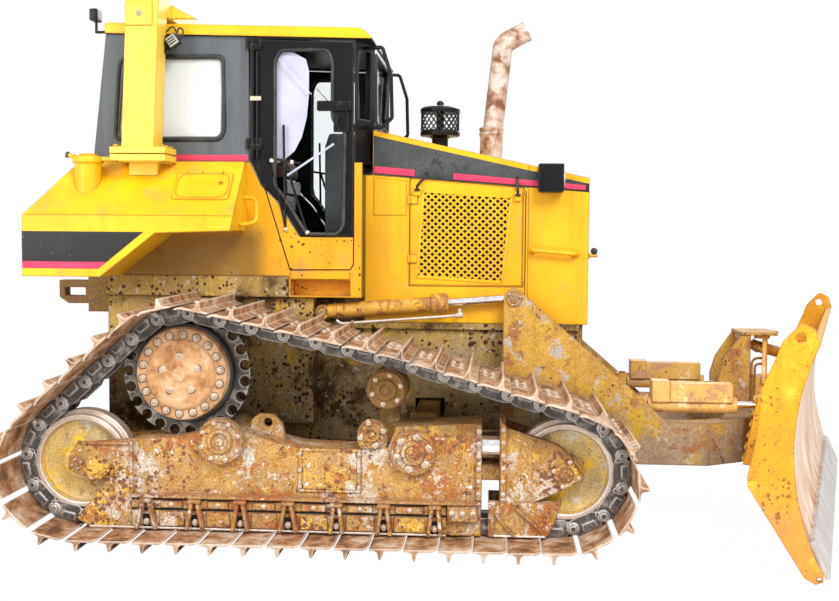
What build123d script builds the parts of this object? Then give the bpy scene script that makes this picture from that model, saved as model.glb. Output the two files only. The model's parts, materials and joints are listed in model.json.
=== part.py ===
from build123d import *
import os
from math import asin, atan2, cos, degrees, hypot, pi, radians, sin, sqrt, tau

# A crawler dozer with raised sprockets, in millimetres.
# +X forward, +Y to the driver's left, +Z up. The origin is on the ground, on the
# centre plane, under the axle of the rear idlers.

os.makedirs("parts", exist_ok=True)

# ---------------------------------------------------------------- driving sizes
seat = 0.3                     # gap between a part and what carries it
clear = 8                      # gap beside moving panels
skin = 25                      # steel panel, with its folded edge

# track
gauge = 2000                   # between the track centres
shoe_width = 760
shoe_plate = 13
grouser = 48
link_height = 96
chain_width = 180
chain_gap = 100                # between the two rows of links
links = 42
sprocket_teeth = 23
pin_circle = 320               # of the sprocket
pitch = 4 * pi * pin_circle / sprocket_teeth
first_pin = 17.5               # along the ground run, from the rear idler's axle
grouser_at = 60                # from a shoe's rear pin

# wheels of the track
idler_tread = 253
idler_rib = 275                # centre rib, between the rows of links
idler_height = grouser + shoe_plate + link_height + idler_tread
idler_spacing = 2600
sprocket_x, sprocket_z = 567, 897
carrier_x, carrier_z, carrier_tread = 1656, 832, 107
roller_tread = 85
roller_x = [330, 516, 766, 1012, 1278, 1523, 1783, 2020]
roller_height = grouser + shoe_plate + link_height + roller_tread

# track frame
frame_width = 260
frame_wall = 30
frame_flange = 240             # height of the flange over the roller guards
guard_bottom = 70
frame_front = 2156
pivot_x, pivot_z, pivot_shaft = 780, 548, 65

# hull
hull_rear, hull_front = -28, 2300
hull_bottom = 430
hull_half = 450                # half width between the push arms
rear_half = 580                # half width behind the lift cylinders
deck_bottom, deck_top = 1281, 1400
step_rear = 1040               # where the cab's base drops to the deck's underside
nose_front = 2720
nose_bottom = 700
saddle = (1760, 1930, 690)     # slot over the equalizer bar: rear, front, top

# cab
cab_half = 620
cab_wall = 40
cab_rear_low, cab_rear_high = -92, -12
sill = 2047                    # where the black upper cab starts
eaves_rear, eaves_front = 2770, 2736
cab_side_front = 1416
cab_nose = 1503
cab_nose_half = 400
cab_floor = 1600
roof_thick = 62
roof_half = 640
base_front = 1460

# doors
door_rear, door_front = 820, 1406
door_bottom, door_top = 1633, 2735
hinge_out = 12.5                # cab door hinge pins, outside the wall
engine_door_rear, engine_door_front = 1725, 2367
engine_door_bottom = 1354

# hood
hood_rear, hood_front = cab_nose, 2745
hood_top_rear, hood_top_front = 2242, 1973
hood_half = 475
hood_bottom = 1135
hood_lip_rear, hood_lip_front = 1984, 1890     # lower edge of the top panel

# fender
fender_inner, fender_outer = 620, 980
fender_top, fender_ridge = 2045, 1735
fender_crest = 680             # y of the inner top edge
fender_front = 805
lid_rear, lid_front = 441, 759
lid_height = 210
lid_thick = 8
lid_gap = 0.8

# push frame
trunnion_x, trunnion_z, trunnion_pin = 2350, 500, 40
arm_inner, arm_outer = 490, 606
arm_bottom, arm_top = 360, 600
arm_bend, arm_front = 3420, 3745
nose_wall = 145
lift_plate = 24
tower_half = 130               # y of the tower's side plates
tower_plate = 28
tower_top = 1058

# lift cylinders
lift_y = 530
lift_rear = (1225, 1195)       # x and z of the pin on the hull
lift_eye = (2323, 1288)        # and of the pin on the push frame
lift_barrel, lift_bar, lift_pin = 42, 24, 24
lift_length = 725              # of the barrel, from its pin
lift_eye_radius, lift_eye_half = 40, 28
wide_until = lift_rear[0] - lift_barrel - 3   # the hull narrows ahead of the barrel's eye

# angle cylinders
angle_z = 690
angle_rear_x, angle_y = 3060, 500
angle_barrel, angle_bar, angle_pin = 46, 26, 22
angle_length = 530
angle_eye_u, angle_eye_v = 35, 520
angle_eye_radius, angle_eye_half = 34, 25

# tilt cylinder, in the blade's frame
tilt_base = (-40, -40, 985)
tilt_eye = (150, 430, 885)
tilt_barrel, tilt_bar, tilt_pin = 34, 18, 16
tilt_length = 330
tilt_eye_radius = 30
rod_fit = 0.5                  # between a rod and its barrel

# blade
swivel_x, swivel_pin, swivel_hub, swivel_head = 3850, 40, 80, 30
swivel_ear = 86
hub_top = 800
blade_turn = 17.5              # right end back
blade_width = 3000
blade_low = 6                  # end plates' tips over the ground
mould_plate = 30               # thickness of the curved face
end_plate = 32
tilt_z, tilt_joint = 470, 60   # height and radius of the centre pin
box_rear, box_low, box_high = 150, 388, 805
bar_rear, bar_front = 95, 130  # crossbar that the angle cylinders push
bar_low, bar_high = 625, 755
edge_plate = 22

mid = gauge / 2
frame_inner, frame_outer = mid - frame_width / 2, mid + frame_width / 2
pin_offset = link_height / 2


# ---------------------------------------------------------------- helpers
def plate(points, inner, outer, corner=0, grow=0, mode=Mode.ADD):
    """A side outline of (x, z) points, solid between two distances to the right."""
    with BuildSketch(Plane.XZ.offset(inner)) as outline:
        Polygon(*points)
        if corner:
            fillet(outline.vertices(), corner)
        if grow:
            offset(amount=grow, kind=Kind.INTERSECTION)
    extrude(outline.sketch, amount=outer - inner, mode=mode)


def block(x, y, z, mode=Mode.ADD):
    """A box between pairs of x, y and z."""
    with Locations(((x[0] + x[1]) / 2, (y[0] + y[1]) / 2, (z[0] + z[1]) / 2)):
        Box(x[1] - x[0], y[1] - y[0], z[1] - z[0], mode=mode)


def discs(x, z, steps, mode=Mode.ADD):
    """Discs on one axle: radius, then inner and outer distance to the right."""
    for radius, inner, outer in steps:
        with BuildSketch(Plane.XZ.offset(inner)) as disc:
            with Locations((x, z)):
                Circle(radius)
        extrude(disc.sketch, amount=outer - inner, mode=mode)


def rod(start, end, radius, mode=Mode.ADD):
    """A round bar between two points."""
    along = Vector(*end) - Vector(*start)
    with BuildSketch(Plane(origin=Vector(*start), z_dir=along)) as section:
        Circle(radius)
    extrude(section.sketch, amount=along.length, mode=mode)


def mirrored(piece):
    """The left-hand piece."""
    with BuildPart() as left:
        mirror(piece.part, about=Plane.XZ)
    return left


# ---------------------------------------------------------------- path of the chain
def wheels(front_x):
    """Centre and pin radius of each wheel that the chain goes round."""
    idler_pins = idler_tread + pin_offset
    return [
        (0, idler_height, idler_pins),
        (front_x, idler_height, idler_pins),
        (carrier_x, carrier_z, carrier_tread + pin_offset),
        (sprocket_x, sprocket_z, pin_circle),
    ]


def chain_runs(front_x):
    """Start, heading, length and curve of each straight run and arc, in order."""
    ring = wheels(front_x)
    headings = []
    for (ax, az, ar), (bx, bz, br) in zip(ring, ring[1:] + ring[:1]):
        span = hypot(bx - ax, bz - az)
        headings.append(atan2(bz - az, bx - ax) + asin((ar - br) / span))
    runs = []
    for i, (x, z, radius) in enumerate(ring):
        nx, nz, next_radius = ring[(i + 1) % len(ring)]
        heading, before = headings[i], headings[i - 1]
        turn = (heading - before) % tau
        runs.append(((x, z), before, radius * turn, radius))
        start = (x + radius * sin(heading), z - radius * cos(heading))
        length = sqrt((nx - x) ** 2 + (nz - z) ** 2 - (radius - next_radius) ** 2)
        runs.append((start, heading, length, 0))
    return runs[1:] + runs[:1]         # from the start of the ground run


def chain_point(runs, distance):
    """Where the pin line is after this distance."""
    for (x, z), heading, length, radius in runs:
        if distance <= length:
            break
        distance -= length
    if radius:
        now = heading + distance / radius
        return x + radius * sin(now), z - radius * cos(now)
    return x + distance * cos(heading), z + distance * sin(heading)


front_x = idler_spacing
for _ in range(30):                    # the idler slides forward until the chain is tight
    slack = links * pitch - sum(run[2] for run in chain_runs(front_x))
    front_x += slack / 2
runs = chain_runs(front_x)
pins = [chain_point(runs, first_pin + i * pitch) for i in range(links)]
engaged = min(pins, key=lambda pin: abs(hypot(pin[0] - sprocket_x, pin[1] - sprocket_z) - pin_circle))
sprocket_phase = degrees(atan2(engaged[1] - sprocket_z, engaged[0] - sprocket_x))


def shoe_line(profile):
    """The loop of points (along, outward) given for each link, from its rear pin."""
    loop = []
    for (ax, az), (bx, bz) in zip(pins, pins[1:] + pins[:1]):
        span = hypot(bx - ax, bz - az)
        tx, tz = (bx - ax) / span, (bz - az) / span
        loop += [(ax + along * tx + out * tz, az + along * tz - out * tx) for along, out in profile]
    return loop


plate_out = pin_offset + shoe_plate
shoe_profile = [
    (3, plate_out),
    (grouser_at - 20, plate_out),
    (grouser_at - 6, plate_out + grouser),
    (grouser_at + 6, plate_out + grouser),
    (grouser_at + 20, plate_out),
    (pitch - 5, plate_out),
]
shoe_inside = [(3, pin_offset), (pitch - 5, pin_offset)]


def belt(offset):
    """The hull of the chain's wheels, at this offset from the pin line."""
    with BuildSketch() as loop:
        with BuildLine():
            for x, z, radius in wheels(front_x):
                CenterArc((x, z), radius + offset, 0, 360)
        make_hull()
    return loop.sketch


# ---------------------------------------------------------------- tracks and wheels
row_inner, row_outer = mid - chain_width / 2, mid + chain_width / 2
with BuildPart() as track_right:
    with BuildSketch(Plane.XZ.offset(mid - shoe_width / 2)):
        Polygon(*shoe_line(shoe_profile))
        Polygon(*shoe_line(shoe_inside), mode=Mode.SUBTRACT)
    extrude(amount=shoe_width)
    for inner, outer in ((row_inner, mid - chain_gap / 2), (mid + chain_gap / 2, row_outer)):
        with BuildSketch(Plane.XZ.offset(inner)):
            add(belt(pin_offset))
            add(belt(-pin_offset), mode=Mode.SUBTRACT)
        extrude(amount=outer - inner)
track_left = mirrored(track_right)

rib_half = (chain_gap - 10) / 2
with BuildPart() as idlers:
    for x in (0, front_x):
        discs(x, idler_height, [
            (idler_tread - seat, row_inner + 2, row_outer - 2),
            (idler_rib, mid - rib_half, mid + rib_half),
        ])
        for face in (row_inner + 2, row_outer - 32):      # dished sides
            discs(x, idler_height, [(idler_tread - 32, face, face + 30)], mode=Mode.SUBTRACT)
        discs(x, idler_height, [(92, row_inner - 10 + seat, row_outer + 10 - seat)])
    mirror(about=Plane.XZ)

hub_out = mid + 150
with BuildPart() as final_drives:
    discs(sprocket_x, sprocket_z, [
        (205, rear_half, mid - 40),
        (247, mid - 40, hub_out),
        (169, hub_out, hub_out + 20),
        (32, hub_out + 20, hub_out + 34),
    ])
    mirror(about=Plane.XZ)

tooth_tip, notch = 345, 29
with BuildPart() as sprockets:
    with BuildSketch(Plane.XZ.offset(mid - 35)):
        with Locations((sprocket_x, sprocket_z)):
            Circle(tooth_tip)
            Circle(247 + seat, mode=Mode.SUBTRACT)
            with PolarLocations(pin_circle, sprocket_teeth, start_angle=sprocket_phase):
                Circle(notch, mode=Mode.SUBTRACT)
    extrude(amount=70)
    mirror(about=Plane.XZ)

with BuildPart() as track_rollers:
    for x in roller_x:
        discs(x, roller_height, [
            (roller_tread - seat, row_inner + 2, row_outer - 2),
            (34, frame_inner + frame_wall, frame_outer - frame_wall),
        ])
        discs(x, roller_height, [(roller_tread, mid - rib_half, mid + rib_half)])
    mirror(about=Plane.XZ)

with BuildPart() as carrier_rollers:
    discs(carrier_x, carrier_z, [
        (carrier_tread - seat, row_inner + 2, row_outer + 20),
        (70, row_outer + 20, row_outer + 40),
        (45, row_inner - 30, row_inner + 2),
    ])
    mirror(about=Plane.XZ)

# ---------------------------------------------------------------- track frames
frame_top = [(300, 545), (532, 561), (642, 585), (887, 602), (1077, 541), (1186, 516),
             (1401, 505), (1669, 527), (1706, 640), (frame_front, 666)]
beam_bottom = roller_height + roller_tread + 20
guard_ribs = [(332, 431), (602, 684), (849, 925), (1099, 1186), (1370, 1429), (1617, 1682),
              (1885, 1948)]
near_plate = [(-5, 517), (290, 545), (frame_front, 485), (frame_front, guard_bottom),
              (60, guard_bottom), (-12, 110), (165, 330), (70, 318), (-55, 370), (-48, 450)]
with BuildPart() as track_frame_right:
    beam = [(300, beam_bottom)] + frame_top + [(frame_front, beam_bottom)]
    plate(beam, frame_inner, frame_outer)
    for inner in (frame_inner, frame_outer - frame_wall):
        plate(near_plate, inner, inner + frame_wall)
        discs(0, idler_height, [(47, inner, inner + frame_wall)])
    for rear, front in guard_ribs:
        for x in (rear, front):
            block((x - 8, x + 8), (-frame_outer - 22, -frame_outer), (guard_bottom, frame_flange))
    block((290, frame_front), (-frame_outer - 26, -frame_outer), (frame_flange, frame_flange + 16))
    block((1980, 2140), (-frame_outer - 24, -frame_outer), (146, frame_flange))
    discs(pivot_x, pivot_z, [(125, frame_outer, frame_outer + 24), (52, frame_outer + 24, frame_outer + 34)])
    discs(1800, 508, [(119, frame_outer, frame_outer + 20), (40, frame_outer + 20, frame_outer + 30)])
    discs(1583, 570, [(80, frame_outer - 60, frame_outer - 5)])
    plate([(1191, 283), (1525, 283), (1525, 518), (1191, 518)], frame_outer, frame_outer + 8, corner=12)
    with BuildSketch(Plane.XZ.offset(mid - 15)) as eye:
        Polygon((903, 580), (1100, 535), (1085, 620), (1040, 672), (955, 676), (915, 640))
        with Locations((1005, 628)):
            Circle(24, mode=Mode.SUBTRACT)
    extrude(eye.sketch, amount=30)
    plate([(1590, 500), (1720, 520), (1700, 870), (1612, 870)], row_inner - 30, row_inner - 12)
    discs(sprocket_x, sprocket_z, [(tooth_tip + clear, mid - chain_gap / 2, mid + chain_gap / 2)],
          mode=Mode.SUBTRACT)
    discs(carrier_x, carrier_z, [(45 + seat, row_inner - 40, row_inner + 2)], mode=Mode.SUBTRACT)
    discs(0, idler_height, [(36, frame_outer - 5, frame_outer + 16)])
track_frame_left = mirrored(track_frame_right)

yoke_upper = [(2250, 699), (2282, 647), (2556, 562), (2690, 438), (2690, 385), (2570, 318), (2430, 256),
              (2256, 256)]
yoke_lower = [(2192, 255), (2195, guard_bottom), (2496, guard_bottom), (2531, 119), (2575, 262), (2430, 256)]
with BuildPart() as idler_yokes:
    for inner in (row_inner - 38, row_outer + 10):
        plate(yoke_upper, inner, inner + 28)
        plate(yoke_lower, inner, inner + 28)
        discs(front_x, idler_height, [(60, inner, inner + 28)])
    block((2250, 2280), (-row_outer - 12, -row_inner + 12), (256, 690))
    block((frame_front, 2260), (-mid - 55, -mid + 55), (352, 426))
    rod((frame_front, -mid, 533), (2252, -mid, 533), 74)
    block((front_x - 42, front_x + 42), (-row_outer - 50, -row_outer - 38),
          (idler_height - 42, idler_height + 42))
    discs(front_x, idler_height, [(30, row_outer + 50, row_outer + 58)])
    mirror(about=Plane.XZ)

with BuildPart() as equalizer_bar:
    rear, front, top = saddle
    block((rear + 25, front - 25), (-frame_inner + seat, frame_inner - seat), (top - 150, top - 15))

# ---------------------------------------------------------------- hull
pin_root = hull_half - 10
with BuildPart() as main_frame:
    block((hull_rear, hull_front), (-hull_half, hull_half), (hull_bottom, hood_bottom))
    block((wide_until, base_front), (-hull_half, hull_half), (hood_bottom, deck_bottom))
    block((hull_rear, wide_until), (-rear_half, rear_half), (549, deck_bottom))
    block((hull_rear, step_rear), (-cab_half, cab_half), (deck_bottom, deck_top))
    block((hull_front, nose_front), (-hull_half, hull_half), (nose_bottom, hood_bottom))
    block((wide_until, nose_front - 20), (-hood_half, hood_half), (hood_bottom - 40, hood_bottom))
    rear, front, top = saddle
    block((rear, front), (-rear_half, rear_half), (hull_bottom - 1, top), mode=Mode.SUBTRACT)
    rod((rear, 0, top - 80), (rear + 25 - seat, 0, top - 80), 50)
    rod((front - 25 + seat, 0, top - 80), (front, 0, top - 80), 50)
    rod((pivot_x, -frame_inner + seat, pivot_z), (pivot_x, frame_inner - seat, pivot_z), pivot_shaft)
    for side in (-1, 1):
        pin_x, pin_z = lift_rear
        rod((trunnion_x, side * pin_root, trunnion_z), (trunnion_x, side * (arm_outer - 12), trunnion_z),
            trunnion_pin)
        rod((pin_x, side * pin_root, pin_z), (pin_x, side * (lift_y + 36), pin_z), lift_pin)
    block((hull_front, trunnion_x + 90), (-hull_half, hull_half), (hull_bottom, nose_bottom))
    block((wide_until, lift_rear[0] + 30), (-hull_half - 20, hull_half + 20), (1120, 1260))

with BuildPart() as tow_hitch:
    block((-300, hull_rear), (-180, 180), (1150, 1370))
    with BuildSketch(Plane.XZ.offset(-45)) as jaw:
        Polygon((-300, 1191), (-480, 1191), (-539, 1230), (-539, 1338), (-300, 1338))
        Polygon((-500, 1240), (-370, 1240), (-370, 1292), (-500, 1292), mode=Mode.SUBTRACT)
    extrude(jaw.sketch, amount=90)
    with Locations((-450, 0, 1338)):
        Cylinder(25, 400, mode=Mode.SUBTRACT)

with BuildPart() as engine_block:
    block((1600, 2330), (-300, 300), (hood_bottom, 1830))

# ---------------------------------------------------------------- fenders
with BuildPart() as fender_right:
    outline = [(-363, 1400), (73, 1400), (380, 1641), (790, 1655), (fender_front, 1720),
               (fender_front, fender_top), (-150, fender_top), (-360, fender_ridge)]
    plate(outline, fender_inner, fender_outer)
    with BuildSketch(Plane.YZ.offset(-400)):
        Polygon((-fender_inner, 1350), (-fender_outer, 1350), (-fender_outer, fender_ridge),
                (-fender_crest, fender_top), (-fender_inner, fender_top))
    extrude(amount=1300, mode=Mode.INTERSECT)
    with Locations((-58, -790, 1930)):
        Cylinder(72, 250)
    slope = Plane(origin=(0, -(fender_crest + fender_outer) / 2, (fender_top + fender_ridge) / 2),
                  x_dir=(1, 0, 0), z_dir=(0, fender_ridge - fender_top, fender_outer - fender_crest))
fender_left = mirrored(fender_right)

with BuildPart() as fender_lid_right:
    with BuildSketch(slope.offset(lid_gap)):
        with Locations(((lid_rear + lid_front) / 2, 10)):
            RectangleRounded(lid_front - lid_rear, lid_height, 20)
    extrude(amount=lid_thick)
    for x in (lid_rear + 60, lid_front - 140):           # the knuckles turn just clear of the fender
        start, end = [slope.from_local_coords(Vector(along, 10 + lid_height / 2, lid_gap + lid_thick))
                      for along in (x, x + 80)]
        rod(start, end, lid_thick)
fender_lid_left = mirrored(fender_lid_right)

# ---------------------------------------------------------------- cab
door = [(door_rear, door_top), (door_rear, 2058), (889, 1917), (975, 1833), (1107, door_bottom),
        (door_front, door_bottom), (door_front, door_top - 18)]
with BuildPart() as cab_base:
    base = [(cab_rear_low, deck_top), (step_rear, deck_top), (step_rear, deck_bottom),
            (base_front, deck_bottom), (base_front, sill), (cab_rear_low, sill)]
    plate(base, -cab_half, cab_half)
    inside = [(cab_rear_low + cab_wall, cab_floor), (base_front - cab_wall, cab_floor),
              (base_front - cab_wall, sill), (cab_rear_low + cab_wall, sill)]
    plate(inside, -cab_half + cab_wall, cab_half - cab_wall, mode=Mode.SUBTRACT)
    for inner in (-cab_half, cab_half - cab_wall):
        plate(door, inner, inner + cab_wall, grow=clear, mode=Mode.SUBTRACT)
    for inner in (-cab_half, cab_half - 110):
        plate([(step_rear + 12, 1290), (1393, 1290), (1393, 1378), (step_rear + 12, 1378)],
              inner, inner + 110, mode=Mode.SUBTRACT)


def eaves(x):
    """Height of the top of the cab walls."""
    return eaves_rear + (eaves_front - eaves_rear) * (x - cab_rear_high) / (cab_side_front - cab_rear_high)


def cab_prism(inset, low):
    """The cab's room, from plan and side outlines set in by this much."""
    side_outline = [(cab_rear_low + inset, low), (cab_nose - inset, low),
                    (cab_nose - inset, eaves(cab_nose)), (cab_rear_high + inset, eaves(cab_rear_high))]
    half, nose = cab_half - inset, cab_nose_half - inset / 2
    with BuildPart() as room:
        plate(side_outline, -half, half)
        with BuildSketch(Plane.XY.offset(low)) as plan:
            Polygon((cab_rear_low, -half), (cab_side_front, -half), (cab_nose - inset, -nose),
                    (cab_nose - inset, nose), (cab_side_front, half), (cab_rear_low, half))
        extrude(plan.sketch, amount=1500, mode=Mode.INTERSECT)
    return room.part


def corner_planes():
    """A plane along each slanted front corner of the cab, at its foot."""
    for side in (-1, 1):
        yield side, Plane(origin=(cab_side_front, side * cab_half, sill), z_dir=(0, 0, 1),
                          x_dir=(cab_nose - cab_side_front, side * (cab_nose_half - cab_half), 0))


corner_span = hypot(cab_nose - cab_side_front, cab_half - cab_nose_half)
window = [(55, 2190), (650, 2190), (660, 2625), (95, 2625)]
rear_pane_width, rear_pane_height, rear_pane_z = 900, 470, 2400
front_low, front_high, corner_low = 2300, 2690, 2297     # windshield and its corner panes
glass = 6
with BuildPart() as cab_body:
    add(cab_prism(0, sill))
    add(cab_prism(cab_wall, sill), mode=Mode.SUBTRACT)
    for inner in (-cab_half, cab_half - cab_wall):
        plate(window, inner, inner + cab_wall, corner=40, mode=Mode.SUBTRACT)
        plate(door, inner, inner + cab_wall, grow=clear, mode=Mode.SUBTRACT)
    with BuildSketch(Plane.YZ.offset(cab_rear_low - 50)):
        with Locations((0, rear_pane_z)):
            RectangleRounded(rear_pane_width, rear_pane_height, 50)
    extrude(amount=250, mode=Mode.SUBTRACT)
    block((cab_nose - cab_wall - 1, cab_nose + 1), (-cab_nose_half + 40, cab_nose_half - 40),
          (front_low, front_high), mode=Mode.SUBTRACT)
    for side, corner in corner_planes():
        with BuildSketch(corner.offset(corner_low - sill)):
            with Locations((corner_span / 2, 0)):
                Rectangle(corner_span - 90, 160)
        extrude(amount=front_high - front_low, mode=Mode.SUBTRACT)

with BuildPart() as cab_roof:
    roof = [(cab_rear_high, eaves_rear), (cab_rear_high, eaves_rear + roof_thick),
            (1429, eaves(1429) + roof_thick), (1475, eaves(1475) + 42),
            (cab_nose + 12, eaves(cab_nose + 12))]
    plate(roof, -roof_half, roof_half)
    fillet(cab_roof.faces().sort_by(Axis.Z)[-1].edges(), 18)

with BuildPart() as side_windows:
    for inner in (-cab_half + 18, cab_half - 24):
        plate(window, inner, inner + glass, corner=40)

with BuildPart() as rear_window:
    with BuildSketch(Plane.YZ):
        with Locations((0, rear_pane_z)):
            RectangleRounded(rear_pane_width, rear_pane_height, 50)
    extrude(amount=250, both=True)
    pane = [(cab_rear_low + 15, sill), (cab_rear_high + 15, eaves_rear),
            (cab_rear_high + 15 + glass, eaves_rear), (cab_rear_low + 15 + glass, sill)]
    plate(pane, -500, 500, mode=Mode.INTERSECT)

with BuildPart() as windshield:
    block((cab_nose - 20 - glass, cab_nose - 20), (-cab_nose_half + 40, cab_nose_half - 40),
          (front_low, front_high))
    for side, corner in corner_planes():
        with BuildSketch(corner.offset(corner_low - sill)):
            with Locations((corner_span / 2, -side * 20)):
                Rectangle(corner_span - 90, glass)
        extrude(amount=front_high - front_low)

with BuildPart() as driver_seat:
    block((510, 950), (-240, 240), (cab_floor, 1960))
    block((490, 970), (-260, 260), (1960, 2090))
    plate([(500, 2090), (620, 2090), (600, 2620), (500, 2620)], -230, 230, corner=20)
    for side in (-1, 1):
        block((550, 880), (side * 300 - 40, side * 300 + 40), (1960, 2230))

with BuildPart() as console:
    block((1200, 1400), (-330, 330), (cab_floor, 2160))
    plate([(1200, 2160), (1400, 2160), (1400, 2235), (1225, 2235)], -330, 330)

with BuildPart() as control_levers:
    for x, y in ((700, -300), (720, 300)):
        rod((x, y, 2230), (x, y, 2400), 12)
        with Locations((x, y, 2410)):
            Sphere(26)

# ---------------------------------------------------------------- doors
with BuildPart() as cab_door_right:
    pane_hole = [(992, 2673), (1264, 2673), (1288, 2600), (1288, 2283), (1362, 2216), (1353, 1695),
                 (1320, 1640), (1145, 1640), (1010, 1858), (964, 1910), (964, 2607)]
    plate(door, cab_half - cab_wall, cab_half)
    plate(pane_hole, cab_half - cab_wall, cab_half, corner=12, mode=Mode.SUBTRACT)
    hinge_x, hinge_y = door_rear - 10, -cab_half - hinge_out
    for z in (2120, 2680):
        rod((hinge_x, hinge_y, z), (hinge_x, hinge_y, z + 60), 12)
        block((hinge_x, door_rear + 60), (hinge_y, -cab_half - seat), (z, z + 60))
        block((door_rear, door_rear + 60), (-cab_half - seat, -cab_half), (z, z + 60))
cab_door_left = mirrored(cab_door_right)

with BuildPart() as door_glass_right:
    plate(pane_hole, cab_half - 18 - glass, cab_half - 18, corner=12)
door_glass_left = mirrored(door_glass_right)

# ---------------------------------------------------------------- rollover frame
post_rear, post_front, post_lean = 155, 336, 34
post_inner, post_outer = 700, 860
foot_outer = 765               # y of the foot's outer face, under the flanges
post_top = 2900


def slope_height(y):
    """Height of the fender's sloped face at this distance from the centre plane."""
    return fender_top - (y - fender_crest) * (fender_top - fender_ridge) / (fender_outer - fender_crest)


with BuildPart() as rollover_frame:
    post = [(post_rear, 2100), (post_front, 2100), (post_front + post_lean, post_top + 35),
            (post_rear + post_lean, post_top + 35)]
    plate(post, post_inner, post_outer)
    for z in (2034, 2075):
        block((103, 415), (-post_outer - 40, -post_inner + 5), (z, z + 36))
    with BuildSketch(Plane.YZ.offset(165)) as foot:
        Polygon((-post_inner, slope_height(post_inner)), (-foot_outer, slope_height(foot_outer)),
                (-foot_outer, 2111), (-post_inner, 2111))
    extrude(foot.sketch, amount=165)
    block((183, 335), (-post_outer - 8, -post_outer), (2771, 2897))
    mirror(about=Plane.XZ)
    block((post_rear + post_lean + 5, post_front + post_lean - 5), (-post_inner, post_inner),
          (2846, post_top + 32))
    for side in (-1, 1):
        plate([(360, 2930), (510, 2852), (360, 2852)], side * 600 - 12, side * 600 + 12)

# ---------------------------------------------------------------- hood
def hood_top(x):
    """Height of the top of the hood."""
    return hood_top_rear + (hood_top_front - hood_top_rear) * (x - hood_rear) / (hood_front - hood_rear)


def hood_lip(x):
    """Height of the lower edge of the hood's top panel."""
    return hood_lip_rear + (hood_lip_front - hood_lip_rear) * (x - hood_rear) / (hood_front - hood_rear)


radiator_rear = 2400
stack_x, collar_radius = 2168, 68
cleaner_x, cleaner_neck = 1864, 50
with BuildPart() as hood:
    shell = [(hood_rear, hood_lip(hood_rear)), (radiator_rear, hood_lip(radiator_rear)),
             (radiator_rear, hood_top(radiator_rear)), (hood_rear, hood_top(hood_rear))]
    plate(shell, -hood_half, hood_half)
    hollow = [(hood_rear - 1, 1900), (radiator_rear + 1, 1900),
              (radiator_rear + 1, hood_top(radiator_rear) - skin),
              (hood_rear - 1, hood_top(hood_rear) - skin)]
    plate(hollow, -hood_half + skin, hood_half - skin, mode=Mode.SUBTRACT)
    rod((stack_x, 0, 1900), (stack_x + 18, 0, 2300), collar_radius + seat, mode=Mode.SUBTRACT)
    rod((cleaner_x, 0, 1900), (cleaner_x, 0, 2300), cleaner_neck + seat, mode=Mode.SUBTRACT)

with BuildPart() as hood_sides:
    side = [(base_front, hood_bottom), (radiator_rear, hood_bottom),
            (radiator_rear, hood_lip(radiator_rear)), (hood_rear, hood_lip(hood_rear)),
            (base_front, hood_lip(hood_rear))]
    plate(side, hood_half - skin, hood_half)
    low, rear, front = engine_door_bottom - clear, engine_door_rear - clear, engine_door_front + clear
    opening = [(rear, low), (front, low), (front, hood_lip(engine_door_front)),
               (rear, hood_lip(engine_door_rear))]
    plate(opening, hood_half - skin, hood_half, mode=Mode.SUBTRACT)
    mirror(about=Plane.XZ)

with BuildPart() as radiator_guard:
    guard = [(radiator_rear, hood_bottom), (hood_front, hood_bottom), (hood_front, hood_top(hood_front)),
             (radiator_rear, hood_top(radiator_rear))]
    plate(guard, -hood_half, hood_half)
    with BuildSketch(Plane.YZ.offset(radiator_rear - 1)):
        with Locations((0, 1520)):
            RectangleRounded(780, 640, 40)
    extrude(amount=500, mode=Mode.SUBTRACT)

with BuildPart() as front_grille:
    with BuildSketch(Plane.YZ.offset(hood_front - 60)):
        with Locations((0, 1520)):
            RectangleRounded(780 - 2 * seat, 640 - 2 * seat, 40)
    extrude(amount=40)

with BuildPart() as engine_door_right:
    rear, front = engine_door_rear, engine_door_front
    panel = [(rear, engine_door_bottom), (front, engine_door_bottom), (front, hood_lip(front) - clear),
             (rear, hood_lip(rear) - clear)]
    plate(panel, hood_half - skin, hood_half)
    hinge_x, hinge_y = rear - 10, -hood_half - 8.5
    for z in (1480, 1820):
        rod((hinge_x, hinge_y, z), (hinge_x, hinge_y, z + 50), 8)
        block((hinge_x, rear + 40), (hinge_y, -hood_half - seat), (z, z + 50))
        block((rear, rear + 40), (-hood_half - seat, -hood_half), (z, z + 50))
engine_door_left = mirrored(engine_door_right)

with BuildPart() as exhaust_stack:
    with BuildLine() as stack_line:
        FilletPolyline((stack_x + 9, 0, 2180), (2244, 0, 2810), (2389, 0, 2886), radius=70)
    with BuildSketch(Plane(origin=stack_line.line @ 0, z_dir=stack_line.line % 0)):
        Circle(61)
        Circle(54, mode=Mode.SUBTRACT)
    sweep()
    rod((stack_x + 7, 0, 2056), (stack_x + 18, 0, 2300), collar_radius)

with BuildPart() as precleaner:
    for radius, low, high in ((cleaner_neck, 2130, 2245), (123, 2245, 2270), (95, 2270, 2390),
                              (123, 2390, 2425), (22, 2425, 2465)):
        with Locations((cleaner_x, 0, (low + high) / 2)):
            Cylinder(radius, high - low)

with BuildPart() as headlights:
    block((2450, 2594), (-hood_half - 115, -hood_half), (1887, 2050))
    mirror(about=Plane.XZ)

with BuildPart() as grab_bars:
    rod((2411, -hood_half - 45, 1561), (2679, -hood_half - 45, 1540), 11)
    for x, z in ((2422, 1560), (2668, 1541)):
        rod((x, -hood_half, z), (x, -hood_half - 45, z), 11)
    mirror(about=Plane.XZ)

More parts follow.
